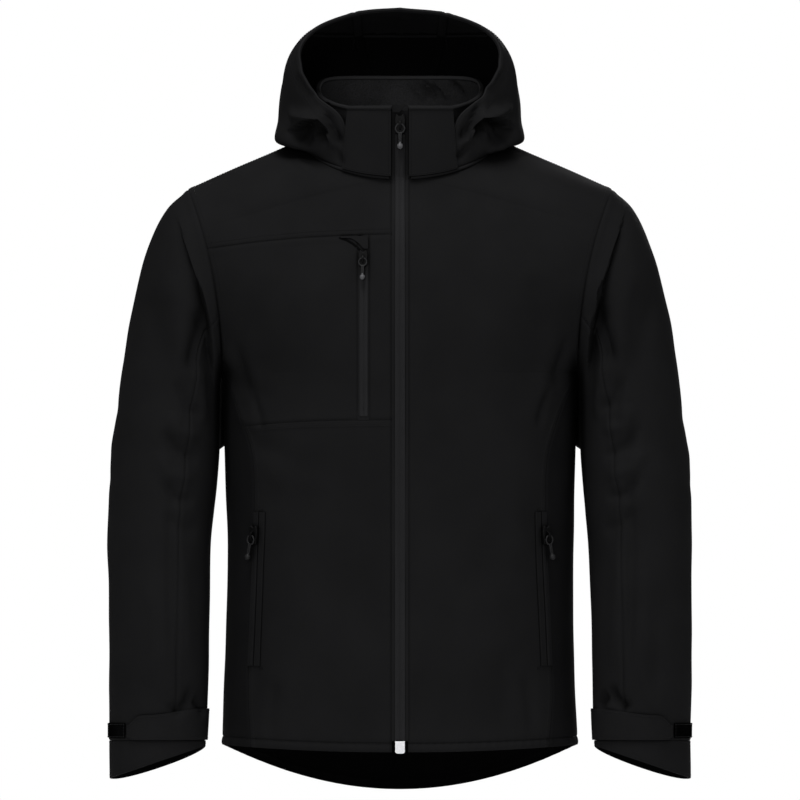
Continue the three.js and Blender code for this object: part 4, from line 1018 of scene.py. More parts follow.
def join_borders(moves):
    """Gives both sides of each seam the same move. The back keeps its own, and its neighbours follow it."""
    borders = []
    for name in FOLDED:
        for edge in EDGES.values():
            rest, move = SHEETS[name].rest[edge], moves[name][edge]
            borders.append((name, rest, move))
            if name == "back_panel":
                borders.append((name, mirrored(rest), mirrored(move)))
    owner = [name for name, rest, _ in borders for _ in rest]
    rests, old = (np.concatenate([b[k] for b in borders]) for k in (1, 2))
    tree = KDTree(len(rests))
    for i, spot in enumerate(rests):
        tree.insert(spot, i)
    tree.balance()
    for name in FOLDED:
        if name == "back_panel":
            continue
        away = edge_distances(SHEETS[name].rest)
        for edge, far in zip(EDGES.values(), away):
            rest, move = SHEETS[name].rest[edge], moves[name][edge]
            change = np.array([shared_move(name, spot, own, tree, owner, old) - own for spot, own in zip(rest, move)])
            share = (1 - ramp(0, JOIN_FADE, far))[..., None]
            moves[name] += share * (change[None] if edge[0] in (0, -1) else change[:, None])


def shared_move(name, spot, own, tree, owner, old):
    """The mean move of the cloth pieces that meet at a spot of a seam, or the back's own where it is one of them."""
    beside = {}
    for _, i, away in tree.find_range(spot, JOIN_NEAR):
        if owner[i] != name:
            beside.setdefault(owner[i], []).append((1 / (away + 0.05), old[i]))
    means = {other: sum(w * move for w, move in found) / sum(w for w, _ in found) for other, found in beside.items()}
    if "back_panel" in means:
        return means["back_panel"]
    return sum(means.values(), own.copy()) / (len(means) + 1)


ARMPIT_FROM_Z, ARMPIT_TO_Z, ARMPIT_FADE, ARMPIT_GAP, ARMPIT_REACH = -252.0, -322.0, 16.0, 2.5, 16.0
ARMPIT_FRONT_Y, ARMPIT_BACK_Y, ARMPIT_SEAM_FADE = 4.0, 30.0, 18.0


def close_armpit(points):
    """The rear of the sleeve lies against the body under the arm, so that no light shows between them there."""
    side = np.sign(points[0, 0, 0])
    x, y, z = points[..., 0] * side, points[..., 1], points[..., 2]
    body = read(BODY_WIDTHS, z) * np.sqrt(np.clip(1 - (y / read(BACK_DEPTHS, z)) ** 2, 0, 1)) + ARMPIT_GAP
    level = ramp(ARMPIT_TO_Z - ARMPIT_FADE, ARMPIT_TO_Z, z) * ramp(ARMPIT_FROM_Z + ARMPIT_FADE, ARMPIT_FROM_Z, z)
    inner = ramp(ARMPIT_GAP + 34, ARMPIT_GAP + 12, x - read(BODY_WIDTHS, z))
    _, _, from_first, from_last = edge_distances(points)
    off_seam = ramp(0, ARMPIT_SEAM_FADE, np.minimum(from_first, from_last))
    shift = np.clip(x - body, 0, ARMPIT_REACH) * level * inner * off_seam * ramp(ARMPIT_FRONT_Y, ARMPIT_BACK_Y, y)
    points[..., 0] -= side * shift


# Lines on the cloth: points with their outward directions


def edge_line(name, side, inset, start=0.0, end=1.0, piece=None):
    """A line along one edge of a sheet, a given distance inside it."""
    sheet = SHEETS[name]
    points, normals = sheet.points, sheet.normals
    if side in ("low", "high"):
        points, normals = points.swapaxes(0, 1), normals.swapaxes(0, 1)
    if side in ("high", "last"):
        points, normals = points[:, ::-1], normals[:, ::-1]
    both = np.concatenate([points, normals], axis=-1)
    line = []
    for row in both:
        away = np.concatenate([[0], np.cumsum(np.linalg.norm(np.diff(row[:, :3], axis=0), axis=1))])
        line.append([np.interp(inset, away, row[:, k]) for k in range(6)])
    line = np.array(line)
    count = len(line) - 1
    return line[int(start * count):int(end * count) + 1]


def flipped(line):
    return line * [-1, 1, 1, -1, 1, 1]


def even_steps(line, step):
    """The line's points at even steps along it."""
    away = np.concatenate([[0], np.cumsum(np.linalg.norm(np.diff(line[:, :3], axis=0), axis=1))])
    count = max(int(round(away[-1] / step)), 1)
    at = np.linspace(0, away[-1], count + 1)
    return np.stack([np.interp(at, away, line[:, k]) for k in range(6)], axis=-1)


def cloth_rays():
    """Everything of cloth as seen from outside, for lines drawn in a view."""
    vertices, faces, start = [], [], 0
    for sheet in SHEETS.values():
        rows, columns = sheet.points.shape[:2]
        outer = wall_faces(rows, columns, sheet.closed)[: (rows - 1) * (columns - (not sheet.closed))]
        spots, ways = sheet.points.reshape(-1, 3), sheet.normals.reshape(-1, 3)
        a, b, d = (spots[outer[:, k]] for k in (0, 1, 3))
        if (np.cross(b - a, d - a) * ways[outer[:, 0]]).sum() < 0:
            outer = outer[:, ::-1]
        vertices.append(spots)
        faces.append(outer + start)
        start += rows * columns
    return BVHTree.FromPolygons(np.concatenate(vertices).tolist(), np.concatenate(faces).tolist())


RAY_START = 600.0


def drawn_line(rays, view, spots, step=3.0):
    """A line drawn as it is seen from a side, laid on the cloth there."""
    plane, toward = VIEWS[view]
    spots = np.array(spots, float)
    away = np.concatenate([[0], np.cumsum(np.linalg.norm(np.diff(spots, axis=0), axis=1))])
    at = np.linspace(0, away[-1], max(int(away[-1] / step), 2) + 1)
    line = []
    for a, b in zip(np.interp(at, away, spots[:, 0]), np.interp(at, away, spots[:, 1])):
        origin = np.array(toward) * RAY_START
        origin[plane[0]], origin[plane[1]] = a, b
        place, normal, _, _ = rays.ray_cast(Vector(origin), Vector(-toward))
        if place is not None:
            inner = normal.dot(Vector(toward)) < 0
            out = -normal if inner else normal
            line.append([*(place + out * CLOTH * inner), *out])
    return np.array(line)


# Thread, piping and zip coils

STITCH, STITCH_PITCH, THREAD = 2.3, 3.1, 0.34
STITCH_RINGS = ((0.0, 0.3), (0.28, 1.0), (0.72, 1.0), (1.0, 0.3))
STITCH_SIDES = 4


def stitches(name, lines, finish, pitch=STITCH_PITCH, long=STITCH, thread=THREAD):
    """Rows of sewn stitches: short spindles of thread that sink in at both ends."""
    vertices, faces = [], []
    angles = np.linspace(0, 2 * math.pi, STITCH_SIDES, endpoint=False)
    for line in lines:
        spots = even_steps(line, pitch)
        for a, b in zip(spots, spots[1:]):
            along = unit(b[:3] - a[:3])
            out = unit(a[3:] + b[3:])
            across = unit(np.cross(out, along))
            middle = (a[:3] + b[:3]) / 2
            base = len(vertices)
            for share, full in STITCH_RINGS:
                centre = middle + along * long * (share - 0.5) + out * thread * (0.75 * full - 0.35)
                for angle in angles:
                    turn = across * math.cos(angle) + out * math.sin(angle)
                    vertices.append(centre + turn * thread * full)
            last = len(STITCH_RINGS) - 1
            for ring in range(last):
                for k in range(STITCH_SIDES):
                    n = (k + 1) % STITCH_SIDES
                    low, high = base + ring * STITCH_SIDES, base + (ring + 1) * STITCH_SIDES
                    faces.append([low + k, low + n, high + n, high + k])
            faces.append([base + k for k in range(STITCH_SIDES)][::-1])
            faces.append([base + last * STITCH_SIDES + k for k in range(STITCH_SIDES)])
    return ridden(new_piece(name, vertices, faces, finish), "jacket")


def ridden(piece, body):
    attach(piece, body)
    return piece


def swept(name, lines, finish, wide, high, sides=8, lift=0.0, step=2.4):
    """A rounded cord or band of a given width and height laid along each line, with closed ends."""
    vertices, faces = [], []
    angles = np.linspace(0, 2 * math.pi, sides, endpoint=False)
    for line in lines:
        spots = even_steps(line, step)
        along = unit(np.gradient(spots[:, :3], axis=0))
        out = unit(spots[:, 3:] - along * (spots[:, 3:] * along).sum(1, keepdims=True))
        across = np.cross(out, along)
        base = len(vertices)
        for p, o, c in zip(spots[:, :3] + out * lift, out, across):
            vertices.extend(p + c * wide / 2 * math.cos(a) + o * high / 2 * math.sin(a) for a in angles)
        for i in range(len(spots) - 1):
            for k in range(sides):
                n = (k + 1) % sides
                low, over = base + i * sides, base + (i + 1) * sides
                faces.append([low + k, low + n, over + n, over + k])
        end = base + (len(spots) - 1) * sides
        faces.append([base + k for k in range(sides)][::-1])
        faces.append([end + k for k in range(sides)])
    return ridden(new_piece(name, vertices, faces, finish), "jacket")


COIL_PITCH, COIL_PROFILE = 1.3, ((0.0, 0.0), (0.28, 0.6), (0.52, 1.0), (0.78, 0.62), (1.0, 0.06))


def coil(name, line, finish, half_wide, high):
    """The front of a covered zip coil: two ribs side by side, with a small wave for each tooth."""
    spots = even_steps(line, COIL_PITCH / 3)
    along = unit(np.gradient(spots[:, :3], axis=0))
    out = unit(spots[:, 3:])
    across = np.cross(out, along)
    wave = 1 + 0.16 * np.cos(np.arange(len(spots)) * 2 * math.pi / 3)
    profile = [(-x, h) for x, h in COIL_PROFILE[::-1]] + list(COIL_PROFILE[1:])
    grid = np.array([
        spots[:, :3] + across * half_wide * x + out * (high * h * wave if h else 0.02)[:, None]
        if h else spots[:, :3] + across * half_wide * x + out * 0.05 for x, h in profile
    ]).swapaxes(0, 1)
    normals = np.broadcast_to(out[:, None, :], grid.shape)
    return ridden(wall(name, grid, normals, high * 0.9, finish), "jacket")


def bartack(name, rays, places, finish, across=4.2, high=2.0):
    """Dense bars of thread that hold the ends of pocket openings: view, spot and the bar's lean."""
    lines = []
    for view, (x, z), lean in places:
        for k in range(4):
            up = (k - 1.5) * high / 3
            dx, dz = math.cos(lean) * across / 2, math.sin(lean) * across / 2
            lines.append(drawn_line(rays, view, [(x - dx, z - dz + up), (x + dx, z + dz + up)], step=2.0))
    return swept(name, lines, finish, 0.6, 0.7, sides=6, lift=0.15, step=1.0)


# Materials


def material(name, base, rough, metallic=0.0, specular=0.5):
    made = bpy.data.materials.new(name)
    made.use_nodes = True
    shader = made.node_tree.nodes["Principled BSDF"]
    shader.inputs["Base Color"].default_value = (*base, 1)
    shader.inputs["Roughness"].default_value = rough
    shader.inputs["Metallic"].default_value = metallic
    shader.inputs["Specular IOR Level"].default_value = specular
    return made


def node(tree, kind, **settings):
    made = tree.nodes.new(kind)
    for name, value in settings.items():
        if hasattr(made, name):
            setattr(made, name, value)
        else:
            made.inputs[name.replace("_", " ")].default_value = value
    return made


def noise_of(tree, scale, detail=2.0):
    coords = node(tree, "ShaderNodeTexCoord")
    made = node(tree, "ShaderNodeTexNoise", Scale=scale, Detail=detail)
    tree.links.new(coords.outputs["Object"], made.inputs["Vector"])
    return made


# Reach and samples of the painted shade in hollows
CREVICE_REACH, CREVICE_SAMPLES = 0.018, 8


def shade_crevices(tree, colours, shader):
    """Paints shade into the colour where the surface is hemmed in: in seams, under edges and deep in folds."""
    openness = node(tree, "ShaderNodeAmbientOcclusion", samples=CREVICE_SAMPLES, Distance=CREVICE_REACH)
    level = node(tree, "ShaderNodeMapRange", From_Min=0.35, From_Max=0.95, To_Min=0.08, To_Max=1.0)
    mixed = node(tree, "ShaderNodeVectorMath", operation="SCALE")
    tree.links.new(openness.outputs["AO"], level.inputs["Value"])
    tree.links.new(colours.outputs["Color"], mixed.inputs[0])
    tree.links.new(level.outputs["Result"], mixed.inputs["Scale"])
    tree.links.new(mixed.outputs["Vector"], shader.inputs["Base Color"])


def cloth_material(name, dark, light, rough, grain, grain_deep, crevices=True):
    """Dark cloth: slow and fine colour changes, a grain in its surface, and, when crevices is set, painted shade in its
    hollows.
    """
    made = material(name, dark, rough, specular=0.06)
    tree = made.node_tree
    shader = tree.nodes["Principled BSDF"]
    slow, fine = noise_of(tree, 16.0, 3.0), noise_of(tree, grain, 3.0)
    both = node(tree, "ShaderNodeMath", operation="ADD")
    half = node(tree, "ShaderNodeMath", operation="MULTIPLY")
    half.inputs[1].default_value = 0.5
    tree.links.new(slow.outputs["Fac"], both.inputs[0])
    tree.links.new(fine.outputs["Fac"], both.inputs[1])
    tree.links.new(both.outputs[0], half.inputs[0])
    colours = node(tree, "ShaderNodeValToRGB")
    colours.color_ramp.elements[0].position, colours.color_ramp.elements[0].color = 0.36, (*dark, 1)
    colours.color_ramp.elements[1].position, colours.color_ramp.elements[1].color = 0.64, (*light, 1)
    tree.links.new(half.outputs[0], colours.inputs["Fac"])
    if crevices:
        shade_crevices(tree, colours, shader)
    else:
        tree.links.new(colours.outputs["Color"], shader.inputs["Base Color"])
    bump = node(tree, "ShaderNodeBump", Strength=0.5, Distance=grain_deep)
    tree.links.new(fine.outputs["Fac"], bump.inputs["Height"])
    tree.links.new(bump.outputs["Normal"], shader.inputs["Normal"])
    return made


# Camera and light

FRAME_WIDE, FRAME_MIDDLE_Z = 0.88, -0.2772
CAMERA_AWAY, SENSOR = 30.0, 36.0
FLOOR_Z, FLOOR_RADIUS = -0.79, 1.6
SKY_LIGHT = 0.17  # how much of the white surroundings lights the jacket


def make_camera():
    data = bpy.data.cameras.new("camera")
    data.sensor_width = SENSOR
    data.lens = SENSOR * CAMERA_AWAY / FRAME_WIDE
    data.clip_end = 60
    camera = bpy.data.objects.new("camera", data)
    camera.location = (0, -CAMERA_AWAY, FRAME_MIDDLE_Z)
    camera.rotation_euler = (math.pi / 2, 0, 0)
    bpy.context.scene.collection.objects.link(camera)
    bpy.context.scene.camera = camera


def add_lamp(name, place, target, size, power):
    data = bpy.data.lights.new(name, "AREA")
    data.shape = "DISK"
    data.size, data.energy = size, power
    lamp = bpy.data.objects.new(name, data)
    lamp.location = place
    lamp.rotation_euler = (Vector(target) - Vector(place)).to_track_quat("-Z", "Y").to_euler()
    bpy.context.scene.collection.objects.link(lamp)


def make_room():
    """White surroundings, soft lamps above and in front, and a pale round floor under the jacket."""
    world = bpy.data.worlds.new("white surroundings")
    world.use_nodes = True
    tree = world.node_tree
    seen_directly = node(tree, "ShaderNodeLightPath")
    level = node(tree, "ShaderNodeMapRange", To_Min=SKY_LIGHT, To_Max=1.0)
    tree.links.new(seen_directly.outputs["Is Camera Ray"], level.inputs["Value"])
    tree.nodes["Background"].inputs["Color"].default_value = (1, 1, 1, 1)
    tree.links.new(level.outputs["Result"], tree.nodes["Background"].inputs["Strength"])
    bpy.context.scene.world = world
    bpy.context.scene.view_settings.view_transform = "Standard"
    middle = (0, 0, -0.25)
    add_lamp("top lamp", (-0.3, -1.0, 2.4), middle, 1.2, 66)
    add_lamp("front lamp", (-0.5, -3.2, 0.3), middle, 1.2, 40)
    add_lamp("side lamp", (2.4, -1.2, 0.6), middle, 1.0, 10)
    add_lamp("back lamp", (0.7, 2.9, 1.0), middle, 1.4, 26)

    count = 96
    ring = [(FLOOR_RADIUS * math.cos(a), FLOOR_RADIUS * math.sin(a), FLOOR_Z)
            for a in np.linspace(0, 2 * math.pi, count, endpoint=False)]
    mesh = bpy.data.meshes.new("floor")
    mesh.from_pydata(ring, [], [list(range(count))])
    pale = material("pale floor", (0.93, 0.93, 0.93), 0.9)
    mesh.materials.append(pale)
    floor = bpy.data.objects.new("floor", mesh)
    bpy.context.scene.collection.objects.link(floor)


# The jacket


def build_back(sheet):
    """The back: one half and its mirror image, joined on the middle line up to the neck."""
    grid, normals = sheet.points, sheet.normals
    rows, columns = grid.shape[:2]
    vertices = np.concatenate([grid.reshape(-1, 3), (grid - normals * sheet.thickness).reshape(-1, 3)])
    faces = wall_faces(rows, columns, False)
    layer, end = rows * columns, columns - 1
    rim = np.arange(rows - 1) * columns + end
    hidden = rim[: sheet.neck_row]
    drop = {(a, a + layer) for a in hidden}
    keep = [not (f[0], f[1]) in drop for f in faces.tolist()]
    faces = faces[np.array(keep)]
    if volume_of(vertices, faces) < 0:
        faces = faces[:, ::-1]
    on_middle = np.abs(vertices[:, 0]) < 1e-6
    twin = np.where(on_middle, np.arange(len(vertices)), len(vertices) + np.cumsum(~on_middle) - 1)
    both = np.concatenate([vertices, mirrored(vertices[~on_middle])])
    piece = new_piece("back_panel_cloth", both, np.concatenate([faces, twin[faces[:, ::-1]]]), sheet.finish)
    piece.data.materials.append(sheet.inner)
    count = (rows - 1) * (columns - 1)
    for start in (count, len(faces) + count):
        for polygon in piece.data.polygons[start:start + count]:
            polygon.material_index = 1
    return piece


def build_sheets():
    for name, sheet in SHEETS.items():
        if name == "back_panel":
            piece = build_back(sheet)
        else:
            piece = wall(f"{name}_cloth", sheet.points, sheet.normals, sheet.thickness, sheet.finish, sheet.closed,
                         sheet.inner, sheet.faced_z)
        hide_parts(name)
        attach(piece, "jacket")


# Sewing


HOOD_INNER_SEAMS = ([(-44, FACED_Z - 1), (4, FACED_Z), (50, FACED_Z - 1)], [(-51.7, 125), (-52.5, 110)],
                    [(51.7, 125), (52.5, 110)])


def sew_body(thread):
    rays = cloth_rays()
    edge = lambda name, side, inset, *span: edge_line(name, side, inset, *span)
    pairs = ("left", "right")
    front = [edge("front_left_panel", "first", ZIP_STITCH, 0, 0.965), edge("front_right_lower", "first", ZIP_STITCH),
             edge("chest_strip_panel", "first", ZIP_STITCH), edge("front_right_yoke", "first", ZIP_STITCH, 0, 0.9)]
    stitches("front_edge_stitches", front, thread)
    hems = [edge(name, "low", HEM_STITCH) for name in HEMMED]
    hems += [flipped(edge("back_panel", "low", HEM_STITCH))]
    stitches("hem_stitches", hems, thread)
    chest = [edge("front_right_yoke", "low", NEAR_STITCH), edge("front_right_yoke", "low", FAR_STITCH),
             edge("front_right_lower", "high", NEAR_STITCH), edge("front_right_lower", "high", FAR_STITCH),
             edge("chest_pocket_panel", "first", NEAR_STITCH), edge("chest_strip_panel", "last", NEAR_STITCH)]
    stitches("chest_stitches", chest, thread)
    sides = [edge("front_left_panel", "last", NEAR_STITCH, 0, 0.62), edge("front_left_panel", "last", FAR_STITCH, 0, 0.62),
             edge("front_right_lower", "last", NEAR_STITCH), edge("front_right_lower", "last", FAR_STITCH),
             edge("chest_pocket_panel", "last", NEAR_STITCH, 0, 0.4), edge("back_panel", "first", NEAR_STITCH, 0, 0.62),
             flipped(edge("back_panel", "first", NEAR_STITCH, 0, 0.62))]
    stitches("side_stitches", sides, thread)
    arms = [edge("front_left_panel", "last", FAR_STITCH, 0.66, 1), edge("front_right_yoke", "last", FAR_STITCH),
            edge("chest_pocket_panel", "last", FAR_STITCH, 0.42, 1), edge("back_panel", "first", FAR_STITCH, 0.66, 1),
            flipped(edge("back_panel", "first", FAR_STITCH, 0.66, 1))]
    shoulders = [edge("back_panel", "high", NEAR_STITCH), flipped(edge("back_panel", "high", NEAR_STITCH)),
                 edge("back_panel", "high", FAR_STITCH), flipped(edge("back_panel", "high", FAR_STITCH))]
    stitches("armhole_stitches", arms + shoulders, thread)
    sleeve = []
    for side in pairs:
        sleeve += [edge(f"upper_sleeve_{side}", "first", NEAR_STITCH), edge(f"upper_sleeve_{side}", "last", NEAR_STITCH),
                   edge(f"upper_sleeve_{side}", "high", NEAR_STITCH), edge(f"under_sleeve_{side}", "high", NEAR_STITCH)]
    stitches("sleeve_stitches", sleeve, thread)
    cuffs = []
    for side in pairs:
        cuffs += [edge(f"cuff_tab_{side}", way, 2.2) for way in ("low", "high", "last")]
        cuffs += [edge(f"cuff_end_{side}", "high", 3.0), edge(f"cuff_end_{side}", "low", NEAR_STITCH)]
        cuffs += [edge(f"loop_patch_{side}", way, 1.2) for way in ("low", "high", "first", "last")]
    stitches("cuff_stitches", cuffs, thread)
    hood = [edge("hood_centre", "first", NEAR_STITCH), edge("hood_centre", "last", NEAR_STITCH),
            edge("hood_centre", "low", 20), edge("hood_side_left", "low", 20, 0.3, 1), edge("hood_side_right", "low", 20, 0.3, 1)]
    for side in pairs:
        hood += [edge(f"collar_flap_{side}", way, 2.4) for way in ("first", "last", "low")]
    hood += [edge("collar", "high", 3.0)]
    hood += [drawn_line(rays, "front", spots) for spots in HOOD_INNER_SEAMS]
    stitches("hood_stitches", hood, thread)
    pockets = [edge(f"hand_pocket_welt_{side}", way, 1.4) for side in pairs for way in ("first", "last")]
    stitches("pocket_stitches", pockets, thread)
    tacks = [("front", (x, z), 0.25 * math.copysign(1, x)) for x in (-153, 153) for z in (-397.5, -571)]
    tacks += [("front", (-40.3, -286), 0.0), ("front", (-50.6, 121), 1.3), ("front", (50.6, 121), -1.3)]
    bartack("bar_tacks", rays, tacks, thread)


def pipe_edges(shell):
    """Narrow corded edges on the neckline, the flaps and the hood's ends."""
    neck = [edge_line("front_left_panel", "high", 0.6, 0, 0.01)]
    neck_left, neck_right = neckline("front_left_panel", "front_right_yoke")
    swept("neckline_piping", [neck_left, neck_right], shell, 4.2, 3.6, lift=1.2)
    flaps = [edge_line(f"collar_flap_{side}", "high", 0.6) for side in ("left", "right")]
    swept("flap_piping", flaps, shell, 4.4, 4.0, lift=-0.6)
    brim = [edge_line(name, "low", 0.0) for name in ("hood_centre", "hood_side_left", "hood_side_right")]
    swept("hood_brim_piping", brim, shell, 2.8, 2.6, lift=-1.0)


def neckline(left_name, right_name):
    """The front necklines, from the zip to the side of the neck, just under the collar."""
    places = np.linspace(0.02, 0.98, 40)
    points = neck_at(-1, places)
    out = unit(points * [1, 1, 0] + [0, 0, 30.0])
    line = np.concatenate([points + out * 1.2, out], axis=1)
    return line, flipped(line)


def zip_coils(coils, tape):
    z = np.linspace(FRONT_ZIP_BOTTOM_Z + 1, CHIN_LOW_Z - 24, 200)
    front = np.concatenate([tape_point(0.0, z) + [0, -0.75, 0], np.tile([0, -1.0, 0], (len(z), 1))], axis=1)
    coil("front_zip_coil", front, coils, 5.5, 1.2)
    chest = edge_line("chest_zip_tape", "first", 5.6, 0.03, 0.86)
    coil("chest_zip_coil", chest, coils, 4.5, 1.0)
    for side in ("left", "right"):
        coil(f"hand_pocket_{side}_coil", edge_line(f"hand_pocket_tape_{side}", "first", 2.7, 0.02, 0.8), tape, 1.9, 0.7)


# Curved edge of the chest pocket, and the size of the painted shadow band laid beside it
CHEST_SLIT = [(-65.5, -98.2), (-58, -100.5), (-51, -104.5), (-45, -109.5), (-40, -115), (-36.8, -122), (-35.4, -129)]
SLIT_WIDE, SLIT_HIGH, SLIT_ASIDE = 2.6, 0.5, 1.1


def paint_chest_slit_shadow(inside):
    """A dark band of painted shadow for the pocket's opening, along the curved edge above the chest zip's slider."""
    edge = drawn_line(cloth_rays(), "front", [(x - SLIT_ASIDE, z - SLIT_ASIDE) for x, z in CHEST_SLIT], step=1.5)
    swept("chest_slit_lining", [edge], inside, SLIT_WIDE, SLIT_HIGH, lift=0.15)


# Sliders and pull tabs


def hinge_place(pull, joint):
    """Axes of a slider: where its hinge is, its right, back and up, and how far the pull leans."""
    at, right = Vector(joint["pos_m"]) / MM, -Vector(joint["axis"])
    low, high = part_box(pull)
    mesh = frame_nodes()[pull].data
    centre = sum((v.co for v in mesh.vertices), Vector()) / len(mesh.vertices) / MM - at
    aside = centre.dot(right)
    up = -(centre - right * aside).normalized()
    back = up.cross(right).normalized()
    lean = math.atan2(aside, -centre.dot(up))
    return at, right, back, up, lean


def frame_nodes():
    return {o["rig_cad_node"]: o for o in bpy.data.objects if "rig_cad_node" in o}


def lathe(profile, sides=20):
    """Vertices and faces of a closed round form along z, from (radius, height) pairs."""
    vertices, faces = [], []
    for radius, height in profile:
        for k in range(sides):
            angle = 2 * math.pi * k / sides
            vertices.append((radius * math.cos(angle), radius * math.sin(angle), height))
    for i in range(len(profile) - 1):
        for k in range(sides):
            n = (k + 1) % sides
            faces.append([i * sides + k, i * sides + n, (i + 1) * sides + n, (i + 1) * sides + k])
    faces.append(list(range(sides))[::-1])
    faces.append([(len(profile) - 1) * sides + k for k in range(sides)])
    return vertices, faces


def bar(start, end, wide, deep):
    """A flat rounded bar between two points of the x-z plane."""
    (x0, z0), (x1, z1) = start, end
    profile = [(-1, 0), (-0.8, 0.8), (0, 1), (0.8, 0.8), (1, 0), (0.8, -0.8), (0, -1), (-0.8, -0.8)]
    vertices = []
    for x, z, size in ((x0, z0, 0.7), (mix(x0, x1, 0.06), mix(z0, z1, 0.06), 1), (mix(x0, x1, 0.94), mix(z0, z1, 0.94), 1),
                       (x1, z1, 0.7)):
        vertices += [(x + a * wide / 2 * size, b * deep / 2 * size, z) for a, b in profile]
    faces = [[i * 8 + k, i * 8 + (k + 1) % 8, (i + 1) * 8 + (k + 1) % 8, (i + 1) * 8 + k] for i in range(3) for k in range(8)]
    faces += [list(range(8))[::-1], [24 + k for k in range(8)]]
    return vertices, faces


def ring_form(radius, thick, centre_z, around=28, sides=8):
    vertices, faces = [], []
    for i in range(around):
        a = 2 * math.pi * i / around
        for k in range(sides):
            b = 2 * math.pi * k / sides
            r = radius + thick * math.cos(b)
            vertices.append((r * math.cos(a), thick * 0.8 * math.sin(b), centre_z + r * math.sin(a)))
    for i in range(around):
        n = (i + 1) % around
        faces += [[i * sides + k, n * sides + k, n * sides + (k + 1) % sides, i * sides + (k + 1) % sides]
                  for k in range(sides)]
    return vertices, faces


def gathered(forms):
    vertices, faces = [], []
    for points, polygons in forms:
        faces += [[len(vertices) + k for k in polygon] for polygon in polygons]
        vertices += list(points)
    return np.array(vertices, float), faces


PULL_RING, PULL_THICK, PULL_RING_DOWN, SHAFT_END, BULB_DOWN, BULB = 4.9, 1.0, 4.8, 21.5, 24.0, 3.4


BULB_RINGS, BULB_SIDES = 12, 20
BULB_FACES = (BULB_RINGS + 1) * BULB_SIDES + 2


def pull_form():
    """A ring, two ribs with a web between them, and a bulb at the end."""
    bulb = [(BULB * math.sin(a), -BULB_DOWN - BULB * math.cos(a)) for a in np.linspace(0.12, math.pi - 0.5, BULB_RINGS)]
    neck = [(1.55, -SHAFT_END + 0.9), (1.2, -SHAFT_END + 2.2)]
    top = -PULL_RING_DOWN - PULL_RING + 0.3
    return gathered([
        ring_form(PULL_RING, PULL_THICK, -PULL_RING_DOWN),
        bar((-1.25, top), (-1.0, -SHAFT_END), 1.5, 2.0),
        bar((1.25, top), (1.0, -SHAFT_END), 1.5, 2.0),
        bar((0, top + 0.4), (0, -SHAFT_END - 0.5), 1.8, 1.1),
        lathe(bulb + neck, BULB_SIDES),
    ])


def slider_form():
    """The slider's plate with rounded edges, its raised middle and the loop that holds the pull."""
    outline = [(-4.3, -9.5), (4.3, -9.5), (5.4, -2.0), (6.0, 5.2), (5.2, 9.6), (3.6, 11.2), (1.4, 9.6), (0, 8.8),
               (-1.4, 9.6), (-3.6, 11.2), (-5.2, 9.6), (-6.0, 5.2), (-5.4, -2.0)]
    count = len(outline)
    vertices, faces = [], []
    for size, y in ((0.86, 5.6), (1.0, 5.0), (1.0, 2.6), (0.9, 1.8)):
        vertices += [(x * size, y, 0.6 + (z - 0.6) * size) for x, z in outline]
    for i in range(3):
        faces += [[i * count + k, i * count + (k + 1) % count, (i + 1) * count + (k + 1) % count, (i + 1) * count + k]
                  for k in range(count)]
    faces += [list(range(count))[::-1], [3 * count + k for k in range(count)]]
    hoop = []
    for z, y in ((-6.6, 2.0), (-3.0, -1.3), (0.0, -2.6), (3.0, -1.6), (5.6, 2.0)):
        hoop.append((z, y))
    loop_vertices, loop_faces = [], []
    for z, y in hoop:
        loop_vertices += [(-1.25, y, z), (1.25, y, z), (1.25, y + 1.1, z), (-1.25, y + 1.1, z)]
    for i in range(len(hoop) - 1):
        loop_faces += [[i * 4 + k, i * 4 + (k + 1) % 4, (i + 1) * 4 + (k + 1) % 4, (i + 1) * 4 + k] for k in range(4)]
    end = (len(hoop) - 1) * 4
    loop_faces += [[3, 2, 1, 0], [end, end + 1, end + 2, end + 3]]
    return gathered([(vertices, faces), (loop_vertices, loop_faces)])


CHEST_SLIDER = 0.88
ZIP_FITTINGS = (("front_zip", "front_pull_tab", 1.0), ("chest_zip", "chest_pull_tab", CHEST_SLIDER),
                ("hand_pocket_left", "left_pocket_pull_tab", 1.0), ("hand_pocket_right", "right_pocket_pull_tab", 1.0))


def make_sliders(frame, plate, moulded, bulb):
    joints = {joint["child"]: joint for joint in frame["joints"]}
    for name, body, size in ZIP_FITTINGS:
        at, right, back, up, lean = hinge_place(f"{name}_pull", joints[body])
        basis = Matrix((right, back, up)).transposed()
        turned = basis @ Matrix.Rotation(-lean, 3, "Y")
        for part, form, axes, rides in (("slider", slider_form(), basis, "jacket"), ("pull", pull_form(), turned, body)):
            vertices, faces = form
            placed = [at + axes @ (Vector(v) * size) for v in vertices]
            finish = moulded if part == "pull" else plate
            piece = new_piece(f"{name}_{part}_fine", placed, faces, finish)
            if part == "pull":
                piece.data.materials.append(moulded if name.startswith("hand") else bulb)
                for polygon in piece.data.polygons[-BULB_FACES:]:
                    polygon.material_index = 1
            soften(piece)
            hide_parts(f"{name}_{part}")
            ridden(piece, rides)


def soften(piece):
    rounded = piece.modifiers.new("rounded edges", "BEVEL")
    rounded.width, rounded.segments, rounded.limit_method = 0.25 * MM, 2, "ANGLE"


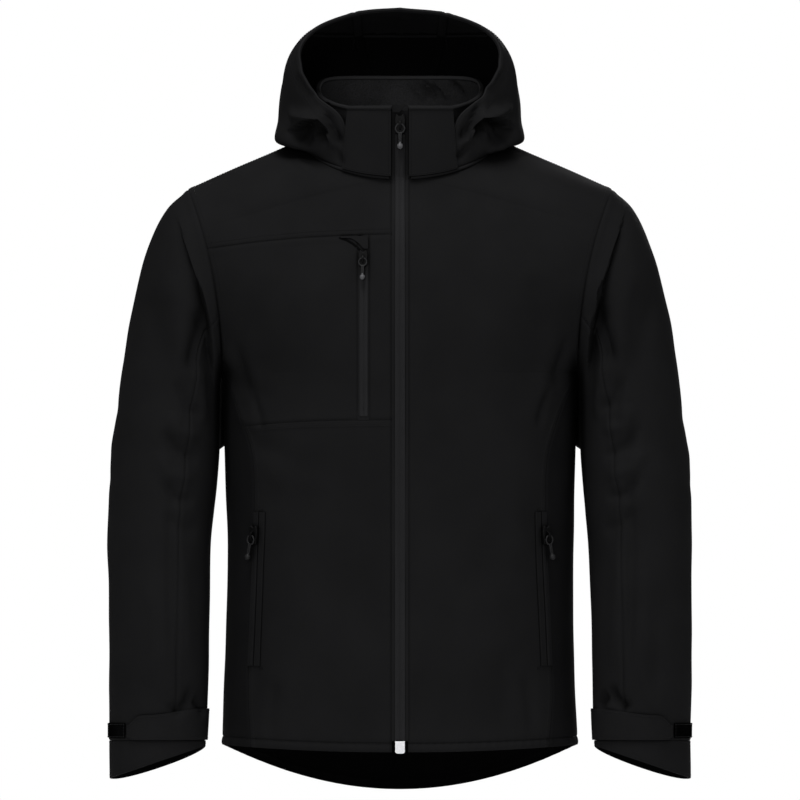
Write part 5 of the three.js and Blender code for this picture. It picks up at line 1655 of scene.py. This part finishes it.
def main():
    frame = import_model()
    shell = cloth_material("shell cloth", (0.0056, 0.0056, 0.0059), (0.0078, 0.0078, 0.0082), 0.86, 1500, 0.00025)
    gore = cloth_material("gore cloth", (0.0038, 0.0038, 0.0041), (0.0053, 0.0053, 0.0057), 0.9, 1200, 0.0003)
    fleece = cloth_material("fleece lining", (0.014, 0.014, 0.0145), (0.034, 0.034, 0.0355), 1.0, 700, 0.0006)
    piping = cloth_material("piping", (0.0078, 0.0078, 0.0082), (0.0105, 0.0105, 0.011), 0.8, 1500, 0.0002)
    # The collar binding is the shell cloth made lighter as painted light along its rolled top edge. Its inside is made
    # far lighter still, as painted light against the shade at the back of the neck. Neither gets painted shade in its
    # hollows.
    binding = cloth_material("collar binding", (0.0095, 0.0095, 0.01), (0.0125, 0.0125, 0.013), 0.8, 1500, 0.0002,
                             crevices=False)
    binding_inside_painted_light = cloth_material("inside of the collar binding, painted light", (0.03, 0.03, 0.031), (0.038, 0.038, 0.0395), 0.8,
                                    1500, 0.0002, crevices=False)
    facing = cloth_material("hood facing", (0.0055, 0.0055, 0.0058), (0.0085, 0.0085, 0.009), 0.95, 900, 0.0004)
    # The back of the shell cloth: black like its face, but made far darker as painted shade for the inside of the
    # jacket. The inner seam tapes and the band in the chest pocket's opening use it too.
    inside = cloth_material("dark inside", (0.0007, 0.0007, 0.0008), (0.0012, 0.0012, 0.0013), 1.0, 700, 0.0006)
    coils = cloth_material("zip coil", (0.0125, 0.0125, 0.0132), (0.0165, 0.0165, 0.0175), 0.7, 1400, 0.0001)
    nap = cloth_material("loop nap", (0.0003, 0.0003, 0.0003), (0.0032, 0.0032, 0.0034), 1.0, 900, 0.0008)
    nap.node_tree.nodes["Principled BSDF"].inputs["Specular IOR Level"].default_value = 0
    tape = cloth_material("zip tape", (0.0056, 0.0056, 0.006), (0.0076, 0.0076, 0.0081), 0.7, 1100, 0.0002)
    make_body(shell, gore)
    make_back(shell)
    make_sleeves(shell)
    make_cuff_ends(shell)
    make_cuff_trims(shell, nap)
    make_collar(shell, shell, binding)
    make_hood(shell, shell)
    make_zip_cloth(shell, tape)
    make_hand_pockets(shell, tape)
    # Inner faces take the darker copy of the cloth, painted shade for the inside of the jacket
    for name in FOLDED + ("cuff_end_left", "cuff_end_right"):
        SHEETS[name].inner = inside
    SHEETS["collar"].inner = fleece
    # The binding's inside takes its far lighter copy, painted light for the shaded back of the neck
    SHEETS["collar_binding"].inner = binding_inside_painted_light
    SHEETS["hood_facing"].finish = facing
    for name in ("hood_side_left", "hood_side_right", "hood_centre"):
        SHEETS[name].faced_z = FACED_Z
    fold_cloth()
    build_sheets()
    thread = cloth_material("thread", (0.0075, 0.0075, 0.008), (0.0115, 0.0115, 0.012), 0.6, 2500, 0.0001)
    moulded = cloth_material("moulded zip pulls", (0.011, 0.011, 0.0115), (0.015, 0.015, 0.0158), 0.5, 260, 0.00005)
    plate = cloth_material("moulded sliders", (0.0022, 0.0022, 0.0023), (0.0034, 0.0034, 0.0036), 0.5, 260, 0.00005)
    bulb = cloth_material("grey pull ends", (0.06, 0.06, 0.063), (0.085, 0.085, 0.09), 0.35, 260, 0.00005)
    for made in (moulded, bulb):
        made.node_tree.nodes["Principled BSDF"].inputs["Specular IOR Level"].default_value = 0.12
    steel = cloth_material("bright metal", (0.62, 0.62, 0.64), (0.78, 0.78, 0.8), 0.28, 500, 0.00003)
    steel.node_tree.nodes["Principled BSDF"].inputs["Metallic"].default_value = 1.0
    sew_body(thread)
    pipe_edges(piping)
    tapes = [edge_line("hood_centre", way, 0.0) for way in ("first", "last")]
    swept("hood_seam_tapes", [line[line[:, 2] < FACED_Z] for line in tapes], inside, 9.0, 0.9,
          lift=-CLOTH - 0.55)
    swept("hood_facing_seam_tapes", [line[line[:, 2] > FACED_Z - 3] for line in tapes], facing, 9.0, 0.9,
          lift=-CLOTH - 0.55)
    cuffs = [edge_line(f"cuff_end_{side}", "low", 0.0) for side in ("left", "right")]
    cuffs = [np.concatenate([line, line[:2]]) for line in cuffs]
    swept("cuff_seam_tapes", cuffs, inside, 8.0, 0.9, lift=-CLOTH - 0.5)
    edge = drawn_line(cloth_rays(), "front", [(-104, FACED_Z - 2), (104, FACED_Z - 2)])
    swept("hood_facing_edge", [edge], facing, 4.5, 1.2, lift=0.2)
    zip_coils(coils, tape)
    # A band of painted shadow in the chest pocket's opening
    paint_chest_slit_shadow(inside)
    make_sliders(frame, plate, moulded, bulb)
    box = frame["nodes"]["front_zip_box"]
    box.data.materials.clear()
    box.data.materials.append(steel)
    make_camera()
    make_room()
    bpy.context.view_layer.update()


main()
